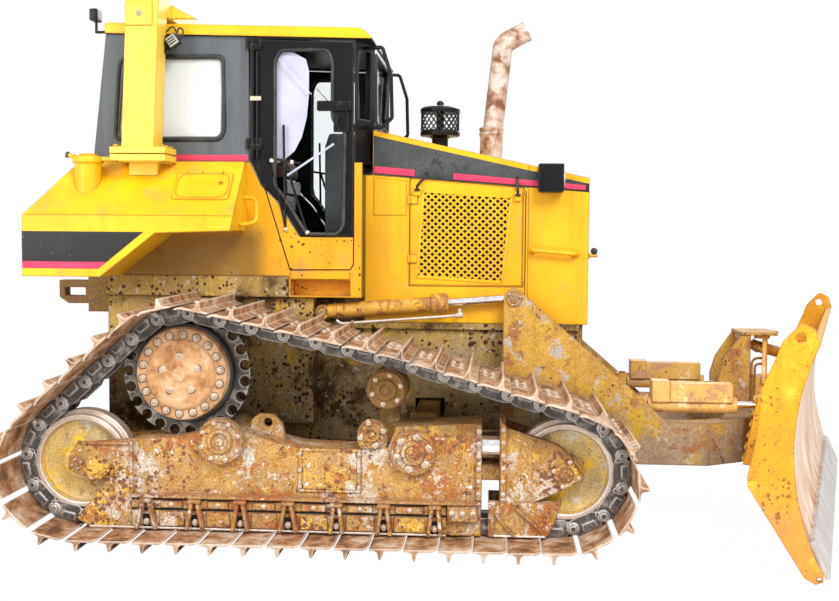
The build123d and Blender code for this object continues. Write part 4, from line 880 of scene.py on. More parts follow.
def chainPins():
    ring = chainWheels()
    headings = []
    for (ax, az, ar), (bx, bz, br) in zip(ring, ring[1:] + ring[:1]):
        span = math.hypot(bx - ax, bz - az)
        headings.append(math.atan2(bz - az, bx - ax) + math.asin((ar - br) / span))
    runs = []
    for i, (x, z, radius) in enumerate(ring):
        nx, nz, nextRadius = ring[(i + 1) % len(ring)]
        turn = (headings[i] - headings[i - 1]) % math.tau
        runs.append((x, z, headings[i - 1], radius * turn, radius))
        length = math.sqrt((nx - x) ** 2 + (nz - z) ** 2 - (radius - nextRadius) ** 2)
        leave = (x + radius * math.sin(headings[i]), z - radius * math.cos(headings[i]))
        runs.append((*leave, headings[i], length, 0))
    runs = runs[1:] + runs[:1]
    pins = []
    for i in range(chain["links"]):
        distance = chain["firstPin"] + i * chain["pitch"]
        for x, z, heading, length, radius in runs:
            if distance <= length:
                break
            distance -= length
        if radius:
            now = heading + distance / radius
            pins.append((x + radius * math.sin(now), z - radius * math.cos(now)))
        else:
            pins.append((x + distance * math.cos(heading), z + distance * math.sin(heading)))
    return pins


def linkFrames():
    # for each link, a matrix from (along, y, outward) to the machine
    pins = chainPins()
    frames = []
    for (ax, az), (bx, bz) in zip(pins, pins[1:] + pins[:1]):
        span = math.hypot(bx - ax, bz - az)
        tx, tz = (bx - ax) / span, (bz - az) / span
        frames.append(Matrix(((tx, 0, tz, ax), (0, 1, 0, 0), (tz, 0, -tx, az), (0, 0, 0, 1))))
    return frames


def makeShoe():
    # one shoe: a bent plate with a grouser, worn corners and four bolts
    shape = bmesh.new()
    top = chain["linkHalf"] + chain["plate"]
    tip = top + chain["grouser"]
    at, end = chain["grouserAt"], chain["pitch"]
    outline = [(0.004, top - 0.010), (0.004, top - 0.001), (at - 0.030, top + 0.001),
               (at - 0.014, top + 0.008), (at - 0.007, tip - 0.004), (at - 0.002, tip),
               (at + 0.005, tip - 0.002), (at + 0.012, top + 0.010), (at + 0.026, top),
               (end - 0.030, top - 0.001), (end - 0.012, top - 0.007), (end + 0.002, top - 0.016),
               (end - 0.002, top - 0.024), (end - 0.018, top - 0.015), (end - 0.040, top - 0.012)]
    low, high = sideBox("track_right", -1)
    addPrism(shape, outline, (low.y - high.y) / 2, (high.y - low.y) / 2, bevel=0.0022)
    for x in chain["boltsAt"]:
        for y in (-chain["boltsOut"], chain["boltsOut"]):
            addBolt(shape, (at + x, y, top - 0.001), (0, 0, 1), chain["boltSize"], chain["boltSize"])
    return asMesh("shoe", shape)


def makeLink():
    # one link of each row, with its pin ends and the raised pocket for the shoe's nuts
    shape = bmesh.new()
    half, end, inner, outer = (chain[key] for key in ("linkHalf", "pitch", "rowInner", "rowOuter"))
    body = [(-0.020, -half + 0.012), (0.010, -half + 0.001), (end - 0.050, -half + 0.001),
            (end - 0.022, -half + 0.016), (end - 0.014, 0.020), (end - 0.034, half - 0.002),
            (0.014, half - 0.002), (-0.026, half - 0.022)]
    for side in sides.values():
        addPlate(shape, body, side, inner, outer, bevel=0.003)
        addPlate(shape, chain["pocket"], side, outer, outer + chain["pocketDepth"], bevel=0.002)
        for near, far, radius, tip, steps in chain["pinEnds"]:
            start, stop = (0, side * (outer + near), 0), (0, side * (outer + far), 0)
            addRound(shape, start, stop, radius, 0, steps, tip)
    addRound(shape, (0, -inner, 0), (0, inner, 0), chain["pinRadius"])
    return asMesh("link", shape)


def makeTracks():
    shoe, link = makeShoe(), makeLink()
    for name, side in sides.items():
        shoes, links = bmesh.new(), bmesh.new()
        for i, place in enumerate(linkFrames()):
            wobble = Matrix.Translation((0, side * trackMiddle + chain["wander"] * math.sin(i * 2.3), 0))
            copyInto(shoes, shoe, place @ wobble)
            copyInto(links, link, place @ Matrix.Translation((0, side * trackMiddle, 0)))
        keepMesh("track_shoes_" + name, shoes, "machine", ["shoeRust"], ["track_" + name])
        keepMesh("track_chain_" + name, links, "machine", ["chainSteel"])
    print("tracks made")


# an idler wheel: (inset from the tread, inset from the side) of its rim's edge, and the dish of its web
idler = {
    "play": 0.0005,
    "sideGap": 0.003,
    "edge": [(0.030, 0.006), (0.024, 0), (0.004, 0), (0, 0.004)],
    "rib": [(0.004, 0.040), (0, 0.036)],
    "ribFoot": 0.044,
    "dish": [(0.030, 0.006), (0.034, 0.030), (0.060, 0.040), (0.100, 0.036)],
    "hub": [(0.125, 0.018), (0.105, 0.008), (0.096, -0.002), (0.070, -0.006), (0.002, -0.006)],
    "steps": 72,
}


def makeIdlers():
    tread, row = chain["tread"] - idler["play"], chain["rowOuter"] - idler["sideGap"]
    half = [(tread - drop, row - inset) for drop, inset in idler["edge"]] + [(tread, idler["ribFoot"])]
    half += [(chain["rib"] - drop, y) for drop, y in idler["rib"]]
    rim = [(radius, -y) for radius, y in half] + half[::-1]
    web = [(tread - drop, row - inset) for drop, inset in idler["dish"]]
    web += [(radius, row - inset) for radius, inset in idler["hub"]]
    for name, side in sides.items():
        shape = bmesh.new()
        for x in (0.0, frontIdler):
            centre = (x, side * trackMiddle, idlerHeight)
            addTurned(shape, rim, centre, 0, idler["steps"])
            for facing in sides.values():
                addSideTurned(shape, web, facing, centre, 1, idler["steps"])
        keepMesh("idler_wheels_" + name, shape, "machine", ["rimSteel", "idlerYellow"],
                 ["idlers"] if side < 0 else ())
    print("idlers made")


# a final drive's cover, its seal, and its rings of bolts, with a dark ring under each head as painted shade
# of the gap around it
hub = {
    "cap": 0.034,
    "case": [(0.205, -0.060), (0.247, -0.036)],
    "cover": [(0.247, -0.030), (0.240, -0.016), (0.228, -0.010), (0.192, -0.010), (0.184, 0.004),
              (0.172, 0.012), (0.060, 0.018), (0.054, 0.016), (0.036, 0.016), (0.034, 0.030), (0.028, 0.034),
              (0.0015, 0.034)],
    "seal": [(0.262, 0.036), (0.270, 0.050), (0.262, 0.078), (0.246, 0.080)],
    "rings": [
        {"out": -0.010, "circle": 0.211, "count": 18, "size": 0.015, "depth": 0.019, "start": 0.12},
        {"out": 0.015, "circle": 0.098, "count": 5, "size": 0.014, "depth": 0.014, "start": 0.35},
    ],
    "gap": 0.004,
    "shadeRingDepth": 0.0012,
    "steps": 72,
}


def makeFinalDrives():
    low, high = sideBox("final_drives", -1)
    outer = -low.y - hub["cap"]
    case = [(0.205, -high.y)] + [(radius, trackMiddle + y) for radius, y in hub["case"]]
    case += [(radius, outer + y) for radius, y in hub["cover"]]
    seal = [(radius, trackMiddle + y) for radius, y in hub["seal"]]
    centre = (sprocketCentre.x, 0, sprocketCentre.z)
    for name, side in sides.items():
        shape = bmesh.new()
        addSideTurned(shape, case, side, centre, 0, hub["steps"])
        addSideTurned(shape, seal, side, centre, 1, hub["steps"])
        for ring in hub["rings"]:
            place = (centre[0], side * (outer + ring["out"]), centre[2])
            circle, count, start = ring["circle"], ring["count"], ring["start"]
            # each bolt stands on a wider, thin dark copy of itself: painted shade around its head
            heads = [(ring["size"] + hub["gap"], hub["shadeRingDepth"], 2), (ring["size"], ring["depth"], 3)]
            for size, depth, finish in heads:
                addBoltRing(shape, place, circle, count, side, size, depth, finish, start)
        keepMesh("drive_hub_" + name, shape, "machine", ["hubRust", "sealRubber", "boltRingShade", "boltSteel"],
                 ["final_drives"] if side < 0 else ())
    print("final drives made")


# bands and stripes on the hood, the fenders and the cab
bands = {
    "hoodHalf": 0.475,
    "rear": (1.503, 2.242, 1.984),
    "front": (2.745, 1.973, 1.890),
    "rim": 0.032,
    "hoodRed": [(1.511, 1.745), (1.967, 2.455), (2.600, 2.722)],
    "redFoot": 0.012,
    "redTall": (0.040, 0.029),
    "fender": 0.980,
    "fenderBlack": [(-0.361, 1.482), (0.112, 1.482), (0.316, 1.646), (-0.361, 1.646)],
    "fenderRed": [(-0.361, 1.444), (0.065, 1.444), (0.112, 1.482), (-0.361, 1.482)],
    "cab": 0.620,
    "cabRed": [(0.384, 2.053), (0.806, 2.053), (0.806, 2.087), (0.384, 2.087)],
    "lift": 0.0012,
    "redLift": 0.0008,
    "ends": (0.004, -0.003),
}


def hoodLine(x, row):
    (x0, *rear), (x1, *front) = bands["rear"], bands["front"]
    return rear[row] + (front[row] - rear[row]) * (x - x0) / (x1 - x0)


def makeBands():
    shape = bmesh.new()
    start, end, half = bands["rear"][0], bands["front"][0], bands["hoodHalf"]
    inset = [(start, start + bands["ends"][0]), (end, end + bands["ends"][1])]
    black = [(drawn, hoodLine(x, 1) + 0.002) for x, drawn in inset]
    black += [(drawn, hoodLine(x, 0) - bands["rim"]) for x, drawn in inset[::-1]]
    rearTall, frontTall = bands["redTall"]
    for side in sides.values():
        addPlate(shape, black, side, half, half + bands["lift"])
        for pair in bands["hoodRed"]:
            foot = [(x, hoodLine(x, 1) + bands["redFoot"]) for x in pair]
            head = [(x, z + rearTall + (frontTall - rearTall) * (x - start) / (end - start)) for x, z in foot]
            addPlate(shape, foot + head[::-1], side, half, half + bands["lift"] + bands["redLift"], 1)
        for place, finish in (("fenderBlack", 0), ("fenderRed", 1), ("cabRed", 1)):
            face = bands["cab" if place == "cabRed" else "fender"]
            addPlate(shape, bands[place], side, face, face + bands["lift"], finish)
    keepMesh("bands", shape, "machine", ["bandBlack", "stripeRed"], smooth=0)
    print("bands made")


# the engine doors: a mesh window and latches
grille = {
    "corners": [(1.762, 1.402), (2.255, 1.374), (2.301, 1.862), (1.797, 1.894)],
    "pitch": 0.0400,
    "close": 0.70,
    "shortest": 0.012,
    "wire": 0.0100,
    "level": 0.0052,
    "weave": 0.0006,
    "strap": 0.008,
    "lean": 0.93,
    "face": 0.475,
    "edge": [(1.7226, 1.3516), (2.3694, 1.3516), (2.3694, 1.9125), (1.7226, 1.9620)],
    "frames": [("corners", 0.014, 0.0004, 0.0075), ("edge", 0.0044, -0.014, -0.004)],
    "latches": [((1.813, 1.998), (1.762, 1.912)), ((2.332, 1.972), (2.338, 1.885))],
}


def clipLine(corners, point, along):
    # where a line crosses a convex outline
    found = []
    for a, b in zip(corners, corners[1:] + corners[:1]):
        edge = (b[0] - a[0], b[1] - a[1])
        cross = along[0] * edge[1] - along[1] * edge[0]
        if abs(cross) < 1e-9:
            continue
        gap = (a[0] - point[0], a[1] - point[1])
        share = (gap[0] * along[1] - gap[1] * along[0]) / cross
        distance = (gap[0] * edge[1] - gap[1] * edge[0]) / cross
        if 0 <= share <= 1:
            found.append((point[0] + along[0] * distance, point[1] + along[1] * distance))
    return found[:2]


def makeEngineDoors():
    corners, face = grille["corners"], grille["face"]
    for name, side in sides.items():
        shape = bmesh.new()
        # a black sheet behind the mesh: painted shade of the engine bay behind the door
        addPlate(shape, corners, side, face + 0.0004, face + 0.0012, 1)
        for lean in sides.values():
            turn = math.atan(grille["lean"]) * lean
            along = (math.cos(turn), math.sin(turn))
            across = (-along[1], along[0])
            spread = [c[0] * across[0] + c[1] * across[1] for c in corners]
            steps = int((max(spread) - min(spread)) / (grille["pitch"] * grille["close"]))
            for i in range(1, steps):
                offset = min(spread) + i * (max(spread) - min(spread)) / steps
                ends = clipLine(corners, (across[0] * offset, across[1] * offset), along)
                if len(ends) == 2 and math.dist(*ends) > grille["shortest"]:
                    level = grille["level"] + grille["weave"] * lean
                    addStrip(shape, *ends, grille["wire"], side, face + 0.0012, face + level)
        for outline, width, near, far in grille["frames"]:
            outline = grille[outline]
            for a, b in zip(outline, outline[1:] + outline[:1]):
                addStrip(shape, a, b, width, side, face + near, face + far)
        for (ax, az), (bx, bz) in grille["latches"]:
            addPanel(shape, side, (bx - 0.020, bx + 0.020), (face + 0.001, face + 0.024),
                     (bz - 0.045, bz + 0.008), bevel=0.004)
            strap = [(ax, 0.012, az), (ax, 0.026, az - 0.018), (bx, 0.030, bz + 0.012),
                     (bx, 0.016, bz - 0.010)]
            addTube(shape, [(x, side * (face + y), z) for x, y, z in strap], grille["strap"], 2, 0.012)
            bar = side * (face + 0.029)
            addRound(shape, (bx - 0.016, bar, bz - 0.012), (bx + 0.016, bar, bz - 0.012), grille["strap"], 2)
        keepMesh("engine_door_mesh_" + name, shape, "engine_door_" + name,
                 ["meshYellow", "seamAndShadeBlack", "sealRubber"])
    print("engine doors made")


# fittings on the outside of the track frames, out from the face: panels are (x0, x1, z0, z1, near, far,
# finish, bevel), strips (foot, head, width, near, far), bolts (places, out, size, depth) and caps
# (x, z, radius, out, bolts, circle, size, height); bays lie between the pairs and saddles on them
frameFit = {
    "face": 1.130,
    "pairs": [(0.332, 0.431), (0.602, 0.684), (0.849, 0.925), (1.099, 1.186), (1.370, 1.429), (1.617, 1.682),
              (1.885, 1.948)],
    "foot": 0.072,
    "ends": (0.280, 1.985),
    "shortest": 0.09,
    "rod": (2.157, 2.251, 0.533, 0.0750),
    "panels": [
        (0.300, 1.975, 0.072, 0.238, 0.0222, 0.0240, 0, 0),
        (0.300, 2.128, 0.2395, 0.2565, 0.0255, 0.0460, 0, 0.003),
        (0.300, 1.975, 0.171, 0.183, 0.0240, 0.0246, 2, 0),
        # this thin black strip just under the flange is painted shade of the slot there
        (0.300, 1.975, 0.226, 0.238, 0.0240, 0.0246, 2, 0),
        (0.070, 1.975, 0.071, 0.081, 0.0240, 0.0300, 3, 0),
        (1.211, 1.505, 0.299, 0.502, 0.0085, 0.0115, 0, 0.002),
        (1.982, 2.138, 0.150, 0.236, 0.0245, 0.0320, 0, 0.003),
        (2.128, 2.158, 0.262, 0.662, 0.0005, 0.0180, 0, 0.003),
        (0.288, 0.306, 0.262, 0.540, 0.0005, 0.0260, 0, 0.003),
        (0.002, 0.286, 0.512, 0.530, 0.0005, 0.0140, 0, 0.003),
    ],
    "bays": [(0.028, 0.186, 0.222, 0.0240, 0.0340, 0, 0.003),
             (0.020, 0.086, 0.166, 0.0240, 0.0280, 0, 0.002)],
    "bayBolt": (0.204, 0.034, 0.010, 0.010),
    "saddles": [(0.034, 0.216, 0.237, 0.0240, 0.0540, 0, 0.003),
                (0.020, 0.072, 0.150, 0.0246, 0.0252, 2, 0)],
    "saddleBolt": (0.108, 0.026, 0.014, 0.016),
    "leg": (0.002, 0.014, 0.228, 0.020, 0.024, 0.050),
    "strips": [((0.186, 0.272), (0.192, 0.392), 0.016, 0.0005, 0.020),
               ((0.092, 0.300), (0.196, 0.398), 0.016, 0.0005, 0.020)],
    "bolts": [([(x, z) for x in (1.203, 1.513) for z in (0.313, 0.4005, 0.488)], 0.008, 0.011, 0.012),
              ([(x, 0.193) for x in (2.005, 2.060, 2.115)], 0.032, 0.011, 0.011),
              ([(2.143, 0.295 + i * 0.066) for i in range(6)], 0.018, 0.010, 0.010)],
    "caps": [(0.780, 0.548, 0.125, 0.024, 8, 0.104, 0.011, 0.030),
             (1.800, 0.508, 0.119, 0.020, 6, 0.090, 0.017, 0.030),
             (1.583, 0.600, 0.078, -0.006, 4, 0.064, 0.014, 0.040),
             (0.0, idlerHeight, 0.036, 0.016, 4, 0.026, 0.005, 0.014),
             (carrierCentre.x, carrierCentre.z, 0.100, -0.018, 6, 0.080, 0.011, 0.034)],
}


# a bolted bearing cap as (share of the radius, share of the height): rim, dished ring and centre plug
capProfile = [(1, 0.5), (0.95, 0.8), (0.86, 0.8), (0.82, 0.55), (0.56, 0.55), (0.52, 1), (0.46, 1.12),
              (0.36, 1.12), (0.33, 0.8), (0.22, 0.8), (0.18, 1)]


def addCap(shape, side, x, z, radius, face, bolts, boltCircle, boltSize, height):
    profile = [(radius, face - 0.004)] + [(radius * wide, face + height * tall) for wide, tall in capProfile]
    addSideTurned(shape, profile + [(0.0012, face + height)], side, (x, 0, z))
    addBoltRing(shape, (x, side * (face + height * 0.5), z), boltCircle, bolts, side, boltSize, 0.016, 1, 0.3)


def makeFrameFittings():
    face, foot, pairs, (start, end) = (frameFit[key] for key in ("face", "foot", "pairs", "ends"))
    panels, strips, bolts = (list(frameFit[key]) for key in ("panels", "strips", "bolts"))
    edges = [start] + [x for pair in pairs for x in pair] + [end]
    for x0, x1 in zip(edges[::2], edges[1::2]):
        if x1 - x0 > frameFit["shortest"]:
            panels += [(x0 + inset, x1 - inset, *rest) for inset, *rest in frameFit["bays"]]
            z, *rest = frameFit["bayBolt"]
            bolts.append(([((x0 + x1) / 2, z)], *rest))
    for x0, x1 in pairs:
        centre = (x0 + x1) / 2
        spread, gap, top, *rest = frameFit["leg"]
        for x, way in ((x0, -1), (x1, 1)):
            strips.append(((x + way * spread, foot), (centre + way * gap, top), *rest))
        panels += [(centre - half, centre + half, *rest) for half, *rest in frameFit["saddles"]]
        z, *rest = frameFit["saddleBolt"]
        bolts.append(([(centre, z)], *rest))
    rodStart, rodEnd, rodHeight, rodRadius = frameFit["rod"]
    for name, side in sides.items():
        shape = bmesh.new()
        for x0, x1, z0, z1, near, far, finish, bevel in panels:
            addPanel(shape, side, (x0, x1), (face + near, face + far), (z0, z1), finish, bevel)
        for low, high, width, near, far in strips:
            addStrip(shape, low, high, width, side, face + near, face + far)
        for places, out, size, depth in bolts:
            addSideBolts(shape, places, side, face + out, size, depth)
        for x, z, radius, out, *rest in frameFit["caps"]:
            addCap(shape, side, x, z, radius, face + out, *rest)
        rod = side * trackMiddle
        addRound(shape, (rodStart, rod, rodHeight), (rodEnd, rod, rodHeight), rodRadius, 4, 40)
        keepMesh("frame_fittings_" + name, shape, "machine",
                 ["wornYellow", "boltSteel", "seamAndShadeBlack", "rimSteel", "chromeRod"], even=True)
    print("frame fittings made")


# fittings on the front idlers' yokes: ribs are (foot, head, width, how far they stand out, finish)
yokeFit = {
    "face": 1.128,
    "strip": [(2.255, 0.262), (2.286, 0.262), (2.286, 0.653), (2.255, 0.688)],
    "stripOut": 0.020,
    "stripBolts": [(2.2705, 0.297 + i * 0.068) for i in range(6)],
    "ribs": [
        ((2.290, 0.640), (2.552, 0.552), 0.012, 0.010, 0),
        ((2.552, 0.552), (2.680, 0.436), 0.012, 0.010, 0),
        ((2.215, 0.235), (2.215, 0.072), 0.014, 0.016, 0),
        ((2.235, 0.190), (2.330, 0.072), 0.014, 0.016, 0),
        ((2.330, 0.235), (2.480, 0.100), 0.014, 0.016, 0),
        ((2.205, 0.076), (2.490, 0.076), 0.010, 0.012, 2),
    ],
    "gap": 0.0005,
    "bevel": 0.003,
    "pad": {"half": 0.062, "lean": 0.52, "near": 0.010, "far": 0.024, "boltsIn": 0.24},
    "bolt": 0.009,
    "cap": (0.036, 0.022, 4, 0.024, 0.004, 0.018),
}


def makeYokeFittings():
    face, gap, bevel, bolt, pad = (yokeFit[key] for key in ("face", "gap", "bevel", "bolt", "pad"))
    radius, out, *rest = yokeFit["cap"]
    spin, padBolts = [], []
    for i in range(4):
        turn = pad["lean"] + math.pi / 4 + i * math.pi / 2
        reach = Vector((math.cos(turn), math.sin(turn))) * pad["half"] * math.sqrt(2)
        spin.append((frontIdler + reach.x, idlerHeight + reach.y))
        reach *= 1 - pad["boltsIn"]
        padBolts.append((frontIdler + reach.x, idlerHeight + reach.y))
    for name, side in sides.items():
        shape = bmesh.new()
        addPlate(shape, yokeFit["strip"], side, face + gap, face + yokeFit["stripOut"], 0, bevel)
        addSideBolts(shape, yokeFit["stripBolts"], side, face + yokeFit["stripOut"], bolt, 0.009)
        for start, end, width, far, finish in yokeFit["ribs"]:
            addStrip(shape, start, end, width, side, face + gap, face + far, finish)
        addPlate(shape, spin, side, face + pad["near"], face + pad["far"], 0, bevel)
        addSideBolts(shape, padBolts, side, face + pad["far"], bolt, 0.010)
        addCap(shape, side, frontIdler, idlerHeight, radius, face + out, *rest)
        keepMesh("yoke_fittings_" + name, shape, "machine", ["wornYellow", "boltSteel", "rimSteel"],
                 even=True)
    print("yoke fittings made")


# from the blade's own axes to the machine's
bladeFrame = Matrix.Translation((3.850, 0, 0)) @ Matrix.Rotation(math.radians(-17.5), 4, "Z")

# frame nodes whose edges are rounded, with the width of the rounding
softEdges = {
    "fender_right": 0.010, "fender_left": 0.010, "cab_base": 0.004, "cab_roof": 0.004, "hood": 0.004,
    "radiator_guard": 0.004, "rollover_frame": 0.010, "push_frame": 0.006, "idler_yokes": 0.004,
    "angle_barrel_right": 0.014, "angle_barrel_left": 0.014, "tow_hitch": 0.006, "console": 0.012,
    "work_lights": 0.010, "headlights": 0.010, "blade_swivel": 0.004,
    "track_frame_right": 0.004, "track_frame_left": 0.004, "main_frame": 0.004, "blade": 0.004,
}


softLimits = {
    "fold": 0.5,
    "lobes": {"above": 1.05, "short": 0.05, "fold": 0.15, "width": 0.036, "segments": 4},
    "cageOut": 0.69,
    "cabInside": (0.601, 1.59),
    "roofUnder": -0.6,
}


def mergedCopy(name):
    # the node's mesh with its loose triangles joined into whole faces
    shape = bmesh.new()
    shape.from_mesh(nodes[name].data)
    bmesh.ops.remove_doubles(shape, verts=shape.verts, dist=0.00002)
    flat = [e for e in shape.edges if len(e.link_faces) == 2 and e.calc_face_angle(0) < 0.004]
    bmesh.ops.dissolve_edges(shape, edges=flat, use_verts=False)
    return shape


def roundEdges(shape, edges, width, segments):
    bmesh.ops.bevel(shape, geom=edges, offset=width, segments=segments, affect="EDGES", profile=0.5,
                    material=-1, clamp_overlap=True)


def makeSoftEdges():
    for name, width in softEdges.items():
        shape = mergedCopy(name)
        sharp = [e for e in shape.edges if len(e.link_faces) == 2
                 and e.calc_face_angle(0) > softLimits["fold"] and e.calc_length() > width * 2]
        roundEdges(shape, sharp, width, 2)
        if name == "blade":
            across, lobe = bladeFrame.to_3x3() @ Vector((0, 1, 0)), softLimits["lobes"]
            lobes = [e for e in shape.edges if all(v.co.z > lobe["above"] for v in e.verts)
                     and e.calc_length() < lobe["short"] and len(e.link_faces) == 2
                     and e.calc_face_angle_signed(0) > lobe["fold"]
                     and abs((e.verts[0].co - e.verts[1].co).normalized().dot(across)) > 0.99]
            roundEdges(shape, lobes, lobe["width"], lobe["segments"])
        if name == "work_lights":
            cages = [f for f in shape.faces if abs(f.calc_center_median().y) > softLimits["cageOut"]]
            bmesh.ops.delete(shape, geom=cages, context="FACES")
        finish = nodes[name].data.materials[0].name
        keepMesh(name + "_soft", shape, nodes[name]["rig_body"], [finish, "cabBlack"], (name,), even=True)
    half, floor = softLimits["cabInside"]
    for face in bpy.data.objects["cab_base_soft"].data.polygons:
        face.material_index = int(abs(face.center.y) < half and face.center.z > floor)
    for face in bpy.data.objects["cab_roof_soft"].data.polygons:
        face.material_index = int(face.normal.z < softLimits["roofUnder"])
    print("edges rounded")


# fittings on the cab: seals, seams, the rear window's frame, the windshield's wipers and the doors' rods
cabFit = {
    "half": 0.620,
    "seal": 0.011,
    "windowSeal": [(0.105, 2.637), (0.066, 2.606), (0.038, 2.198), (0.056, 2.172), (0.645, 2.172),
                   (0.672, 2.222), (0.664, 2.628), (0.640, 2.641)],
    "doorSeal": [(0.962, 2.607), (0.992, 2.674), (1.264, 2.674), (1.290, 2.610), (1.290, 2.286),
                 (1.362, 2.220), (1.355, 1.690), (1.322, 1.641), (1.145, 1.641), (1.008, 1.858),
                 (0.962, 1.910)],
    "seam": [(0.898, 1.918), (1.048, 1.437), (1.393, 1.441), (1.412, 1.470), (1.412, 1.640)],
    "step": [(1.050, 1.392), (0.0005, 0.013), (1.384, 1.432)],
    "rear": {"x": -0.092, "foot": 2.047, "lean": 0.080 / 0.723},
    "bars": (0.420, 2.165, 2.635),
    "posts": (0.450, 2.195, 2.605),
    "front": [(1.504, -0.360, 2.300), (1.504, 0.360, 2.300), (1.504, 0.360, 2.690), (1.504, -0.360, 2.690)],
    "frame": 0.009,
    # film: the outline of a pale sheet on the right door's glass, a painted reflection
    "film": [(0.968, 2.640), (0.968, 2.040), (1.010, 2.060), (1.070, 2.110), (1.112, 2.190), (1.140, 2.300),
             (1.152, 2.420), (1.152, 2.560), (1.135, 2.625), (1.060, 2.665), (0.990, 2.668)],
    "hinges": [(0.836, 2.730, 0.011), (0.863, 2.660, 0.008)],
    "hingeFoot": 2.066,
    "straps": [(2.130, 1), (2.402, 2), (2.690, 1)],
    "rods": [(1.012, 2.256, 1.023, 1.668), (0.944, 2.045, 1.023, 1.690), (1.023, 2.045, 1.148, 1.650),
             (0.944, 2.066, 1.103, 2.041)],
    "rod": 0.0072,
    "wipers": [(1.034, 1.971, 1.300, 2.150, 0.011), (0.989, 2.625, 1.171, 2.425, 0.005)],
    "balls": [(1.023, 1.668), (1.148, 1.650), (0.944, 2.056), (1.060, 2.046)],
    "ball": [(0.0006, 0.0165), (0.008, 0.0155), (0.0135, 0.010), (0.0135, 0.004), (0.0006, 0.001)],
    "locks": [((1.205, 1.398), (0.001, 0.040), (2.332, 2.388), 0.008),
              ((1.297, 1.385), (0.001, 0.022), (2.215, 2.330), 0.006)],
    "handle": [(0.020, 2.300), (0.050, 2.300), (0.050, 2.235), (0.020, 2.235)],
    "handleAt": 1.320,
}


def rearWall(height):
    # the leaning rear wall's x at a height
    rear = cabFit["rear"]
    return rear["x"] + rear["lean"] * (height - rear["foot"]) - 0.004


def outside(span):
    return [cabFit["half"] + y for y in span]


def makeCabFittings():
    half, seal, frame = cabFit["half"], cabFit["seal"], cabFit["frame"]
    shape = bmesh.new()
    for side in sides.values():
        loop = [(x, side * (half + 0.002), z) for x, z in cabFit["windowSeal"]]
        addTube(shape, loop, seal, 0, 0.03, 10, True)
        for a, b in zip(cabFit["seam"], cabFit["seam"][1:]):
            addStrip(shape, a, b, 0.007, side, half, half + 0.0008, 1)
        x, y, z = cabFit["step"]
        addPanel(shape, side, x, outside(y), z, 2, 0.006)
    out, *levels = cabFit["bars"]
    for height in levels:
        addTube(shape, [(rearWall(height), y, height) for y in (-out, out)], frame)
    out, *levels = cabFit["posts"]
    for y in (-out, out):
        addTube(shape, [(rearWall(height), y, height) for height in levels], frame)
    addTube(shape, cabFit["front"], frame, 0, 0.03, 10, True)
    for y in (-0.16, 0.16):
        addRound(shape, (1.506, y, 2.285), (1.512, y, 2.285), 0.020)
        addTube(shape, [(1.511, y, 2.287), (1.510, y + 0.05, 2.42), (1.509, y + 0.08, 2.60)], 0.005)
        addTube(shape, [(1.508, y - 0.03, 2.36), (1.508, y + 0.15, 2.60)], 0.006)
    keepMesh("cab_fittings", shape, "machine", ["sealRubber", "seamAndShadeBlack", "cabYellow"], even=True)
    print("cab fittings made")


def makeDoorFittings():
    half, seal, low = cabFit["half"], cabFit["seal"], cabFit["hingeFoot"]
    for name, side in sides.items():
        shape = bmesh.new()
        loop = [(x, side * (half + 0.004), z) for x, z in cabFit["doorSeal"]]
        addTube(shape, loop, seal, 0, 0.03, 10, True)
        for x, top, radius in cabFit["hinges"]:
            addRound(shape, (x, side * (half + 0.013), low), (x, side * (half + 0.013), top), radius, 1)
        for z, finish in cabFit["straps"]:
            span = (z - 0.012, z + 0.012)
            addPanel(shape, side, (0.824, 0.886), outside((0.0005, 0.027)), span, finish, 0.003)
        for x0, z0, x1, z1 in cabFit["rods"]:
            y = side * (half + 0.008)
            addRound(shape, (x0, y, z0), (x1, y, z1), cabFit["rod"], 1, 10)
        for x, z in cabFit["balls"]:
            addSideTurned(shape, [(radius, half + y) for radius, y in cabFit["ball"]], side, (x, 0, z), 2, 14)
        for x0, z0, x1, z1, width in cabFit["wipers"]:
            addStrip(shape, (x0, z0), (x1, z1), width, side, *outside((0.012, 0.0155)), 3)
        for x, y, z, bevel in cabFit["locks"]:
            addPanel(shape, side, x, outside(y), z, 1, bevel)
        grip = [(cabFit["handleAt"], side * (half + y), z) for y, z in cabFit["handle"]]
        addTube(shape, grip, 0.007, 1, 0.012)
        # a pale sheet on the right door's glass: painted reflection
        if name == "right":
            addPlate(shape, cabFit["film"], side, 0.6022, 0.6040, 3)
        keepMesh("door_fittings_" + name, shape, "cab_door_" + name,
                 ["sealRubber", "cabBlack", "rimSteel", "glassReflection"], even=True)
    print("door fittings made")


# the driver's seat: stuffed pads on a hard pan, with sewn channels and piped edges
seatFit = {
    "pads": {
        "seat_cushion": {"low": (0.500, -0.256, 1.966), "high": (0.968, 0.256, 2.088), "thin": 2,
                         "channels": (-0.5, 0, 0.5)},
        "seat_back": {"low": (0.522, -0.228, 2.096), "high": (0.618, 0.228, 2.618), "thin": 0,
                      "channels": (-0.5, 0, 0.5)},
        "armrest_right": {"low": (0.552, -0.338, 2.172), "high": (0.878, -0.262, 2.228), "thin": 2,
                          "channels": ()},
        "armrest_left": {"low": (0.552, 0.262, 2.172), "high": (0.878, 0.338, 2.228), "thin": 2,
                         "channels": ()},
    },
    "cuts": 23,
    "swell": 6.0,
    "swellCap": 0.008,
    "pressure": 4.0,
    "frames": 20,
    "pull": 0.030,
    "channelDepth": 0.0075,
    "piping": 0.0045,
    "pan": [
        ((0.530, 0.930), 0.215, (0, 1.880), 0.008),
        ((0.506, 0.955), 0.238, (1.880, 1.972), 0.014),
        ((0.502, 0.526), 0.222, (1.960, 2.606), 0.010),
    ],
    "arms": [((0.284, 0.316), (1.966, 2.180), 0.008), ((0.225, 0.316), (1.930, 1.972), 0.006)],
    "armsAt": (0.600, 0.660),
}


